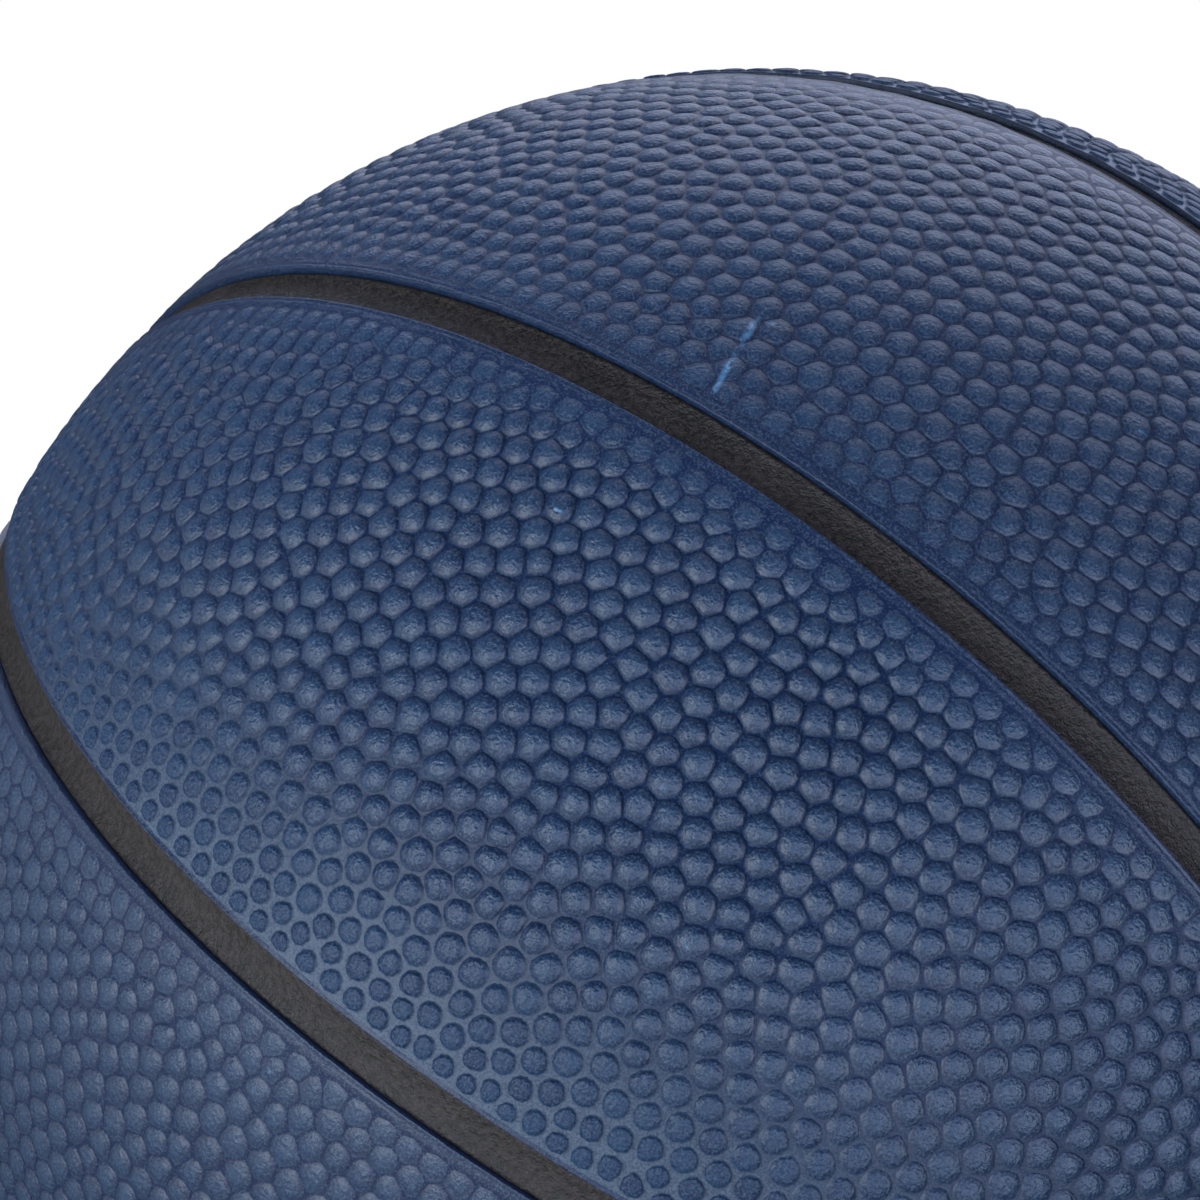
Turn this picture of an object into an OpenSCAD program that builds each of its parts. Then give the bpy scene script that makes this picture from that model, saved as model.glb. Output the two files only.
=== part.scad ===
// Rubber basketball of the full adult size, with eight cover panels that run from pole to pole.
// The pole axis lies along X with the valve at +X, +Z is up through the middle of a channel,
// and the origin is the centre of the ball.

/* [Ball] */
// Outside diameter over the pebbles
ball_d = 240; // [180:1:260]

/* [Cover] */
// Thickness of the cover panels under the pebbles
panel_t = 1.5; // [1.4:0.1:3]
// Width of the channel between two panels
channel_w = 6; // [4:0.1:8]
// Depth of the middle of the channel below the panels' skin
channel_depth = 1; // [0.6:0.05:1.1]
// Height of a channel strip's edges above its middle
strip_dish = 0.45; // [0.1:0.05:0.5]
// Bevel along the long edges of the panels
panel_bevel = 0.4; // [0.1:0.05:0.6]
// Distance from the point where two channels part to the rim of the pole disc
pole_disc_margin = 2.2; // [1:0.1:5]

/* [Pebbles] */
// Height of the pebbles above the panels' skin
pebble_h = 0.6; // [0.3:0.05:0.8]
// Distance between two pebbles
pebble_pitch = 10; // [8:0.5:14]
// Diameter of a pebble at its foot, inside the panel
pebble_foot_d = 7.6; // [6:0.1:7.8]
// Diameter of a pebble's flat top
pebble_top_d = 5; // [3:0.1:5.8]
// Distance from the side of a channel to the middle of the nearest pebble
pebble_border = 5.5; // [5:0.1:8]

/* [Inner layers] */
// Thickness of the rubber carcass under the cover
carcass_t = 0.6; // [0.4:0.1:1.5]
// Thickness of the nylon thread winding
winding_t = 0.4; // [0.3:0.1:1]
// Thickness of the bladder
bladder_t = 0.8; // [0.5:0.1:1.5]

/* [Valve] */
// Diameter of the reinforcing patch inside the bladder
patch_d = 38; // [30:1:50]
// Thickness of the reinforcing patch
patch_t = 0.6; // [0.4:0.1:1.5]
// Diameter of the valve housing's flange
flange_d = 26; // [18:1:30]
// Thickness of the valve housing's flange
flange_t = 0.9; // [0.5:0.1:2]
// Outside diameter of the valve housing's barrel
barrel_d = 10; // [9:0.5:11]
// Length of the barrel inside the flange
barrel_l = 12; // [10:1:20]
// Diameter of the valve insert's head
insert_head_d = 7; // [6:0.1:7.5]
// Height of the valve insert's head
insert_head_t = 3; // [2:0.5:5]
// Diameter of the valve insert's shank
insert_shank_d = 5; // [4:0.1:5.5]
// Length of the shank's tip that stands out of the barrel's inner end
insert_tip_l = 1; // [0.5:0.5:4]
// Diameter of the bore for an inflating needle
needle_d = 2; // [1.5:0.1:2.5]
// Depth of the needle bore, with its lead-in
needle_depth = 13; // [8:1:15]
// Height of the flared lead-in of the needle bore
lead_in_h = 0.8; // [0.3:0.1:1.5]
// Diameter of the mouth of the lead-in
lead_in_d = 3.2; // [2.6:0.1:4]

/* [Fits] */
// Cement line between two bonded layers
bond_gap = 0.2; // [0.1:0.05:0.4]
// Gap along each side of a channel strip and around the pole discs
strip_gap = 0.1; // [0.05:0.05:0.3]
// Gap around the barrel where it passes through the layers
barrel_gap = 0.2; // [0.1:0.05:0.5]
// Clearance around the valve insert in its housing, and under its head
insert_clearance = 0.05; // [0.02:0.01:0.1]

/* [Hidden] */
$fn = 180;
panel_count = 8;
panel_turn = 360 / panel_count;
half_turn = panel_turn / 2;
quarter = 90;

// Radii of the layers, from the outside in: the pebbles stand on the panels' skin
ball_r = ball_d / 2;
skin_r = ball_r - pebble_h;
panel_in_r = skin_r - panel_t;
carcass_out_r = panel_in_r - bond_gap;
carcass_in_r = carcass_out_r - carcass_t;
winding_out_r = carcass_in_r - bond_gap;
winding_in_r = winding_out_r - winding_t;
bladder_out_r = winding_in_r - bond_gap;
bladder_in_r = bladder_out_r - bladder_t;
patch_out_r = bladder_in_r - bond_gap;
patch_in_r = patch_out_r - patch_t;
flange_out_r = patch_in_r - bond_gap;
flange_in_r = flange_out_r - flange_t;

// Channel floor: the dish follows one arc through the strip's middle and its two top edges,
// in an odd number of steps so that the middle one is level
floor_r = skin_r - channel_depth;
strip_w = channel_w - 2 * strip_gap;
dish_steps = 7;
dish_r = (pow(strip_w / 2, 2) + pow(strip_dish, 2)) / (2 * strip_dish);

// Pebbles: the rim of a flat top lies on the ball's outside, and the rows run along parallels
pebble_top_r = sqrt(pow(ball_r, 2) - pow(pebble_top_d / 2, 2));
pebble_foot_r = skin_r - 0.4;
pebble_row_turn = pebble_pitch * sqrt(3) / 2 / skin_r * 180 / PI;
pebble_rows = floor(quarter / pebble_row_turn);

// Poles: two neighbouring panels' edges meet on the line at fork_r from the pole axis
fork_r = channel_w / 2 / sin(half_turn);
pole_disc_r = fork_r + pole_disc_margin;
pole_hole_r = pole_disc_r + strip_gap;
edge_r = sqrt(pow(skin_r, 2) - pow(channel_w / 2, 2));

// Valve, measured along the pole axis from the ball's centre
barrel_hole_r = barrel_d / 2 + barrel_gap;
barrel_end = flange_in_r - barrel_l;
head_seat = floor_r - insert_head_t;
insert_end = barrel_end - insert_tip_l;
needle_end = floor_r - needle_depth;

// Spare length of a cutting tool past the face that it cuts
cut_over = 1;
wedge_reach = ball_r + cut_over;

// Lays the pole axis, which is drawn along Z, along X with the valve at +X
module along_pole_axis() {
    rotate([0, 90, 0]) children();
}

// Turns a piece that is drawn around Z, facing X, from the top of the ball towards the front
module at_turn(turn) {
    rotate([turn, 0, 0]) along_pole_axis() rotate([0, 0, 180]) children();
}

// Hollow ball between two radii
module shell(out_r, in_r) {
    difference() {
        sphere(r = out_r);
        sphere(r = in_r);
    }
}

// Hole for the valve housing's barrel through every layer
module barrel_hole() {
    cylinder(r = barrel_hole_r, h = ball_r + cut_over);
}

// Round patch of a shell at the valve's pole
module shell_disc(out_r, in_r, disc_r) {
    intersection() {
        shell(out_r, in_r);
        cylinder(r = disc_r, h = ball_r);
    }
}

// Whole layer with the barrel's hole
module layer(out_r, in_r) {
    difference() {
        shell(out_r, in_r);
        barrel_hole();
    }
}

// Sweeps a profile around Y from pole to pole, through +X
module half_ring() {
    rotate([-90, 0, 0]) rotate([0, 0, -quarter]) rotate_extrude(angle = 2 * quarter) children();
}

module pole_holes() {
    cylinder(r = pole_hole_r, h = 2 * wedge_reach, center = true);
}

module bladder() {
    color("#2b2523") along_pole_axis() layer(bladder_out_r, bladder_in_r);
}

module thread_winding() {
    color("#d8d2c4") along_pole_axis() layer(winding_out_r, winding_in_r);
}

module carcass() {
    color("#1f1e20") along_pole_axis() layer(carcass_out_r, carcass_in_r);
}

module valve_patch() {
    color("#3a3331") along_pole_axis() difference() {
        shell_disc(patch_out_r, patch_in_r, patch_d / 2);
        barrel_hole();
    }
}

// Flanged rubber barrel with a stepped bore for the insert
module valve_housing() {
    color("#262324") along_pole_axis() difference() {
        union() {
            shell_disc(flange_out_r, flange_in_r, flange_d / 2);
            translate([0, 0, barrel_end]) cylinder(d = barrel_d, h = floor_r - barrel_end);
        }
        translate([0, 0, barrel_end - cut_over])
            cylinder(r = insert_shank_d / 2 + insert_clearance, h = ball_r - barrel_end);
        translate([0, 0, head_seat - insert_clearance])
            cylinder(r = insert_head_d / 2 + insert_clearance, h = ball_r - head_seat);
    }
}

// Rubber plug with a blind bore for an inflating needle, which pulls out along the pole axis
module valve_insert() {
    color("#171617") along_pole_axis() difference() {
        union() {
            translate([0, 0, head_seat]) cylinder(d = insert_head_d, h = insert_head_t);
            translate([0, 0, insert_end]) cylinder(d = insert_shank_d, h = floor_r - insert_end - insert_head_t / 2);
        }
        translate([0, 0, needle_end]) cylinder(d = needle_d, h = needle_depth + cut_over);
        translate([0, 0, floor_r - lead_in_h]) cylinder(d1 = needle_d, d2 = lead_in_d, h = lead_in_h);
    }
}

// Disc that closes the place where the channels meet
module pole_disc() {
    shell_disc(floor_r, panel_in_r, pole_disc_r);
}

module valve_pole_disc() {
    color("#2a2827") along_pole_axis() difference() {
        pole_disc();
        barrel_hole();
    }
}

module plain_pole_disc() {
    color("#2a2827") mirror([1, 0, 0]) along_pole_axis() pole_disc();
}

// Space of one panel: straight sides, each parallel to the middle of its channel
module panel_wedge() {
    spread = wedge_reach * tan(half_turn);
    linear_extrude(height = 2 * wedge_reach, center = true)
        polygon([[fork_r, 0], [fork_r + wedge_reach, spread], [fork_r + wedge_reach, -spread]]);
}

// Tool that bevels a panel's edge beside the channel at +half_turn
module edge_bevel() {
    side = -channel_w / 2;
    rotate([0, 0, half_turn]) half_ring() polygon([
        [edge_r - 2 * panel_bevel, side + panel_bevel],
        [edge_r + panel_bevel, side - 2 * panel_bevel],
        [edge_r + panel_bevel, side + panel_bevel]
    ]);
}

// One pebble: a cone with a flat top, rooted inside the panel
module pebble() {
    translate([0, 0, pebble_foot_r])
        cylinder(d1 = pebble_foot_d, d2 = pebble_top_d, h = pebble_top_r - pebble_foot_r);
}

// Staggered rows of pebbles from pole to pole, up to the panel's smooth border
module pebble_field() {
    for (row = [-pebble_rows : pebble_rows])
        let (
            latitude = row * pebble_row_turn,
            parallel_r = skin_r * cos(latitude),
            reach = half_turn - asin(min(1, (channel_w / 2 + pebble_border) / parallel_r)),
            step = pebble_pitch / parallel_r * 180 / PI,
            shift = row % 2 == 0 ? 0 : 0.5,
            columns = floor(max(0, reach) / step)
        )
            for (column = [-columns - 1 : columns])
                if (abs(column + shift) * step <= reach)
                    rotate([0, 0, (column + shift) * step]) rotate([0, quarter - latitude, 0]) pebble();
}

// Panel i lies between channel strips i and i + 1
module cover_panel(i) {
    color("#27426e") at_turn((i - 0.5) * panel_turn) union() {
        difference() {
            intersection() {
                shell(skin_r, panel_in_r);
                panel_wedge();
            }
            pole_holes();
            edge_bevel();
            mirror([0, 1, 0]) edge_bevel();
        }
        pebble_field();
    }
}

// Cross-section of a strip: flat underneath, dished on top
module strip_profile() {
    half_w = strip_w / 2;
    dish = [
        for (k = [0 : dish_steps])
            let (across = strip_w * k / dish_steps - half_w)
                [floor_r + dish_r - sqrt(pow(dish_r, 2) - pow(across, 2)), across]
    ];
    polygon(concat([[panel_in_r, half_w], [panel_in_r, -half_w]], dish));
}

// Strip 1 is the channel over the top of the ball
module channel_strip(i) {
    color("#2a2827") at_turn((i - 1) * panel_turn) difference() {
        half_ring() strip_profile();
        pole_holes();
    }
}

bladder();
thread_winding();
carcass();
valve_patch();
valve_housing();
valve_insert();
valve_pole_disc();
plain_pole_disc();
for (i = [1 : panel_count]) {
    cover_panel(i);
    channel_strip(i);
}
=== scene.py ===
"""Dresses the basketball: pebbled panels, channel strips, pole discs, valve and inner layers."""

import logging
import math
from dataclasses import dataclass, field
from enum import Enum
from functools import cached_property
from typing import Any, Sequence

import bpy
import numpy as np
from mathutils import Matrix, Vector
from mathutils.geometry import delaunay_2d_cdt


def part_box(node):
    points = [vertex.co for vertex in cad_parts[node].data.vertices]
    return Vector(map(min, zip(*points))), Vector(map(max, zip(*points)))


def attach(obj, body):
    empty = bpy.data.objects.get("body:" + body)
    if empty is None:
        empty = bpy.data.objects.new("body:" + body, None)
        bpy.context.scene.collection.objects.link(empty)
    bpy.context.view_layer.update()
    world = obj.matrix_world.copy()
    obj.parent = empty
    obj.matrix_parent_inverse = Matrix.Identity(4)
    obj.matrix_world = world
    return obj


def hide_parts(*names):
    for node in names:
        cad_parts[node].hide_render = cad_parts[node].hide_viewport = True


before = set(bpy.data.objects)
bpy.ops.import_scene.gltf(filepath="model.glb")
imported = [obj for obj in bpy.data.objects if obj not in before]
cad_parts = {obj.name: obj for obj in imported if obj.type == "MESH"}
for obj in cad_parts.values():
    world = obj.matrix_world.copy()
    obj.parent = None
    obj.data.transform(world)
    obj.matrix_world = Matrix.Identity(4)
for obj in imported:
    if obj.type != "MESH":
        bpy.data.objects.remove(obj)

LOG = logging.getLogger("basketball")
MM = 0.001
FULL_TURN = 2 * math.pi
TINY = 1e-9
BALL_BODY = "ball"
INSERT_BODY = "valve_insert"
BAKE_MAP = "OFBake"
# Point values of the panels' meshes; the third holds the valleys' dust and the painted light on the pebbles'
# downward flanks.
COVER_VALUES = ("relief", "tone", "dust", "satin")

Span = tuple[float, float]
Triple = tuple[float, float, float]
Colour = tuple[float, float, float, float]
Profile = Sequence[tuple[float, float]]


# Small helpers for points

def unit(vectors: np.ndarray) -> np.ndarray:
    """Vectors scaled to length 1."""
    return vectors / np.linalg.norm(vectors, axis=-1, keepdims=True)


def rise(low: float, high: float, values: np.ndarray) -> np.ndarray:
    """0 below low, 1 above high, with a smooth step between them."""
    share = np.clip((values - low) / (high - low), 0.0, 1.0)
    return share * share * (3.0 - 2.0 * share)


def ring_quads(outer: np.ndarray, inner: np.ndarray, after: np.ndarray) -> np.ndarray:
    """Quads between rings of point numbers.

    Args:
        outer: point numbers of the outer ring.
        inner: point numbers of the inner ring, in the same order.
        after: for each place in the rings, the place that comes after it.

    Returns:
        One row of four point numbers per quad.
    """
    return np.stack([outer, outer[after], inner[after], inner], axis=1)


def grid_quads(numbers: np.ndarray) -> np.ndarray:
    """Quads over a rectangular grid of point numbers, first along its rows."""
    return np.stack(
        [numbers[:-1, :-1], numbers[:-1, 1:], numbers[1:, 1:], numbers[1:, :-1]], axis=-1
    ).reshape(-1, 4)


def next_place(count: int) -> np.ndarray:
    """For each place of one closed ring, the place after it."""
    return (np.arange(count) + 1) % count


class Waves:
    """A smooth random surface: a seeded sum of plane waves."""

    def __init__(self, rng: np.random.Generator, lengths: Sequence[Span], count: int) -> None:
        """Draws the waves.

        Args:
            rng: source of the random numbers.
            lengths: shortest and longest wavelength along each axis.
            count: how many waves are added up.
        """
        shortest, longest = np.array(lengths).T
        drawn = rng.uniform(shortest, longest, (count, len(lengths)))
        signs = rng.choice([-1.0, 1.0], drawn.shape)
        self.steps = FULL_TURN * signs / drawn
        self.phases = rng.uniform(0.0, FULL_TURN, count)
        self.level = math.sqrt(2.0 / count)

    def at(self, *places: np.ndarray) -> np.ndarray:
        """Height of the surface, about -1 to 1, at the given places along the axes."""
        stacked = np.stack(np.broadcast_arrays(*places), axis=-1)
        return self.level * np.cos(stacked @ self.steps.T + self.phases).sum(axis=-1)


# Meshes

@dataclass
class MeshDraft:
    """Points, faces and point values of one piece while it is being built."""

    value_names: tuple[str, ...] = ()
    points: list[np.ndarray] = field(default_factory=list)
    faces: list[np.ndarray] = field(default_factory=list)
    values: dict[str, list[np.ndarray]] = field(default_factory=dict)
    count: int = 0

    def add_points(self, points: np.ndarray, **values: Any) -> np.ndarray:
        """Adds points.

        Args:
            points: one row per point, in metres.
            values: point values by name; a name that is left out is 0.

        Returns:
            The numbers of the new points.
        """
        numbers = np.arange(self.count, self.count + len(points))
        self.count += len(points)
        self.points.append(points)
        for name in self.value_names:
            row = np.broadcast_to(values.get(name, 0.0), len(points))
            self.values.setdefault(name, []).append(row)
        return numbers

    def add_faces(self, faces: np.ndarray) -> None:
        """Adds faces that all have the same number of corners."""
        self.faces.append(np.asarray(faces))

    def all_points(self) -> np.ndarray:
        """Every point so far."""
        return np.concatenate(self.points)

    def build(self, name: str, material: bpy.types.Material) -> bpy.types.Object:
        """Makes the piece.

        Args:
            name: name of the piece.
            material: its finish.

        Returns:
            The new object, linked to the scene.
        """
        corners = np.concatenate([face.ravel() for face in self.faces])
        totals = np.concatenate([np.full(len(face), face.shape[1]) for face in self.faces])
        starts = np.cumsum(totals) - totals
        mesh = bpy.data.meshes.new(name)
        mesh.vertices.add(self.count)
        mesh.vertices.foreach_set("co", self.all_points().astype(np.float32).ravel())
        mesh.loops.add(len(corners))
        mesh.loops.foreach_set("vertex_index", corners.astype(np.int32))
        mesh.polygons.add(len(totals))
        mesh.polygons.foreach_set("loop_start", starts.astype(np.int32))
        mesh.polygons.foreach_set("use_smooth", np.ones(len(totals), bool))
        mesh.update(calc_edges=True)
        for value_name, rows in self.values.items():
            attribute = mesh.attributes.new(value_name, "FLOAT", "POINT")
            attribute.data.foreach_set("value", np.concatenate(rows).astype(np.float32))
        mesh.materials.append(material)
        piece = bpy.data.objects.new(name, mesh)
        bpy.context.scene.collection.objects.link(piece)
        return piece


def set_bake_map(piece: bpy.types.Object, corner_places: np.ndarray) -> None:
    """Gives a piece its texture map.

    Args:
        piece: the piece.
        corner_places: place of each face corner on the map, from 0 to 1 both ways.
    """
    layer = piece.data.uv_layers.new(name=BAKE_MAP)
    layer.data.foreach_set("uv", corner_places.astype(np.float32).ravel())


def corner_numbers(mesh: bpy.types.Mesh) -> tuple[np.ndarray, np.ndarray]:
    """Finds where each face corner of a mesh belongs.

    Args:
        mesh: the mesh.

    Returns:
        The point number and the face number of each corner.
    """
    corners = np.zeros(len(mesh.loops), np.int32)
    mesh.loops.foreach_get("vertex_index", corners)
    totals = np.zeros(len(mesh.polygons), np.int32)
    mesh.polygons.foreach_get("loop_total", totals)
    return corners, np.repeat(np.arange(len(totals)), totals)


# A face lies wholly on one side of a piece where more than this share of its corners does.
WHOLE_FACE = 0.99
# Share by which the stretches of a texture map reach past their ends, so that faces across an end fit.
MAP_OVERLAP = 0.05


def face_means(values: np.ndarray, faces: np.ndarray) -> np.ndarray:
    """Mean over each face's corners of a value per corner, given back per corner."""
    totals = np.bincount(faces)
    return (np.bincount(faces, values) / totals)[faces]


def with_overlap(share: np.ndarray) -> np.ndarray:
    """Place on a stretch of a texture map, with room for the overlap at both ends."""
    return (share + MAP_OVERLAP) / (1 + 2 * MAP_OVERLAP)


def dress(piece: bpy.types.Object, node: str, body: str = BALL_BODY) -> None:
    """Puts a piece in the place of a CAD node.

    Args:
        piece: the piece.
        node: name of the node that it replaces.
        body: name of the body that it moves with.
    """
    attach(piece, body)
    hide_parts(node)
    LOG.info("%s: %d points, %d faces", piece.name, len(piece.data.vertices), len(piece.data.polygons))


# Shader maths

class Signal:
    """A number in a shader: one socket, with operators that add Math nodes."""

    def __init__(self, bench: "Bench", socket: bpy.types.NodeSocket) -> None:
        """Wraps an output socket of the bench's tree."""
        self.bench = bench
        self.socket = socket

    def _math(self, operation: str, *terms: Any) -> "Signal":
        """Adds one Math node on the given terms."""
        node = self.bench.node("ShaderNodeMath", {"operation": operation}, dict(enumerate(terms)))
        return Signal(self.bench, node.outputs[0])

    def __add__(self, other: Any) -> "Signal":
        """self + other."""
        return self._math("ADD", self, other)

    def __radd__(self, other: Any) -> "Signal":
        """other + self."""
        return self._math("ADD", other, self)

    def __sub__(self, other: Any) -> "Signal":
        """self - other."""
        return self._math("SUBTRACT", self, other)

    def __rsub__(self, other: Any) -> "Signal":
        """other - self."""
        return self._math("SUBTRACT", other, self)

    def __mul__(self, other: Any) -> "Signal":
        """self * other."""
        return self._math("MULTIPLY", self, other)

    def __rmul__(self, other: Any) -> "Signal":
        """other * self."""
        return self._math("MULTIPLY", other, self)

    def top(self, other: Any) -> "Signal":
        """The larger of the two."""
        return self._math("MAXIMUM", self, other)

    def wave(self) -> "Signal":
        """Sine of the value."""
        return self._math("SINE", self)

    def rise(self, low: float, high: float) -> "Signal":
        """0 below low, 1 above high, with a smooth step between them."""
        node = self.bench.node(
            "ShaderNodeMapRange",
            {"interpolation_type": "SMOOTHSTEP"},
            {"Value": self, "From Min": low, "From Max": high},
        )
        return Signal(self.bench, node.outputs["Result"])


# The Mix node's colour sockets share their names with its number sockets, so they go by their places.
MIX_FIRST = 6
MIX_SECOND = 7
MIX_RESULT = 2


@dataclass(frozen=True)
class NoiseLook:
    """One noise of a finish: width of its blotches, number of finer layers and weight of these."""

    size: float
    detail: float = 2.0
    roughness: float = 0.5


class Bench:
    """A node tree being filled."""

    def __init__(self, tree: bpy.types.NodeTree) -> None:
        """Empties the tree."""
        self.tree = tree
        tree.nodes.clear()

    @classmethod
    def for_material(cls, name: str) -> tuple["Bench", bpy.types.Material]:
        """Starts a new material.

        Args:
            name: its name.

        Returns:
            The bench of its node tree, and the material.
        """
        material = bpy.data.materials.new(name)
        material.use_nodes = True
        return cls(material.node_tree), material

    def node(
        self, kind: str, settings: dict[str, Any] | None = None, sockets: dict[Any, Any] | None = None
    ) -> bpy.types.Node:
        """Adds a node.

        Args:
            kind: the node's type.
            settings: its properties, set before the sockets.
            sockets: values or links of its inputs, by name or number.

        Returns:
            The new node.
        """
        made = self.tree.nodes.new(kind)
        for name, value in (settings or {}).items():
            setattr(made, name, value)
        for name, value in (sockets or {}).items():
            source = value.socket if isinstance(value, Signal) else value
            if isinstance(source, bpy.types.NodeSocket):
                self.tree.links.new(source, made.inputs[name])
            else:
                made.inputs[name].default_value = source
        return made

    def signal(self, node: bpy.types.Node, output: str | int = 0) -> Signal:
        """One of a node's outputs as a number."""
        return Signal(self, node.outputs[output])

    @cached_property
    def place(self) -> bpy.types.NodeSocket:
        """The point on the piece, in metres in the shared frame."""
        return self.node("ShaderNodeTexCoord").outputs["Object"]

    def measure(self, operation: str, *terms: Any) -> Signal:
        """A number from one Vector Math node."""
        node = self.node("ShaderNodeVectorMath", {"operation": operation}, dict(enumerate(terms)))
        return self.signal(node, "Value")

    def from_line(self, start: Vector, end: Vector) -> Signal:
        """Measures how far the point on the piece is from a straight line.

        Args:
            start: one end of the line.
            end: its other end.

        Returns:
            The distance, in metres.
        """
        along = end - start
        difference = self.node("ShaderNodeVectorMath", {"operation": "SUBTRACT"}, {0: self.place, 1: start})
        from_start = difference.outputs["Vector"]
        share = self.measure("DOT_PRODUCT", from_start, along / along.length_squared)
        inside = self.node("ShaderNodeMath", {"operation": "ADD", "use_clamp": True}, {0: share, 1: 0.0})
        nearest = self.node(
            "ShaderNodeVectorMath", {"operation": "SCALE"}, {0: along, "Scale": self.signal(inside)}
        )
        return self.measure("DISTANCE", from_start, nearest.outputs["Vector"])

    def value(self, name: str) -> Signal:
        """A point value that the mesh carries."""
        return self.signal(self.node("ShaderNodeAttribute", {"attribute_name": name}), "Fac")

    def noise(self, look: NoiseLook) -> Signal:
        """Smooth noise over the piece, about 0 to 1.

        Args:
            look: its size and layers.

        Returns:
            The noise.
        """
        sockets = {
            "Vector": self.place,
            "Scale": 1.0 / look.size,
            "Detail": look.detail,
            "Roughness": look.roughness,
        }
        return self.signal(self.node("ShaderNodeTexNoise", None, sockets), "Fac")

    def mix(self, share: Any, first: Any, second: Any) -> bpy.types.NodeSocket:
        """A colour between two others: the first at share 0, the second at share 1."""
        sockets = {"Factor": share, MIX_FIRST: first, MIX_SECOND: second}
        return self.node("ShaderNodeMix", {"data_type": "RGBA"}, sockets).outputs[MIX_RESULT]

    def bump(self, height: Signal, distance: float, strength: float) -> bpy.types.NodeSocket:
        """A normal tilted by a height."""
        sockets = {"Height": height, "Distance": distance, "Strength": strength}
        return self.node("ShaderNodeBump", None, sockets).outputs["Normal"]

    def shader(self, sockets: dict[str, Any]) -> bpy.types.NodeSocket:
        """A Principled shader."""
        return self.node("ShaderNodeBsdfPrincipled", None, sockets).outputs["BSDF"]

    def blend(
        self, share: Signal, first: bpy.types.NodeSocket, second: bpy.types.NodeSocket
    ) -> bpy.types.NodeSocket:
        """A shader between two others: the first at share 0, the second at share 1."""
        return self.node("ShaderNodeMixShader", None, {0: share, 1: first, 2: second}).outputs["Shader"]

    def surface(self, shader: bpy.types.NodeSocket) -> None:
        """Ends a material with a shader."""
        self.node("ShaderNodeOutputMaterial", None, {"Surface": shader})

    def principled(self, sockets: dict[str, Any]) -> None:
        """Ends a material with one Principled shader."""
        self.surface(self.shader(sockets))


# Finishes

def channel_light(value: int) -> float:
    """Light of one colour channel by the sRGB curve, from its value of 0 to 255 in a picture."""
    share = value / 255
    return share / 12.92 if share <= 0.04045 else ((share + 0.055) / 1.055) ** 2.4


def srgb(red: int, green: int, blue: int) -> Colour:
    """A shader colour from the 0 to 255 values of a picture."""
    return (channel_light(red), channel_light(green), channel_light(blue), 1.0)


WHITE: Colour = (1.0, 1.0, 1.0, 1.0)


@dataclass(frozen=True)
class Mark:
    """A rubbed mark on the cover between two points."""

    start: Vector
    end: Vector
    half_width: float


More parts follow.
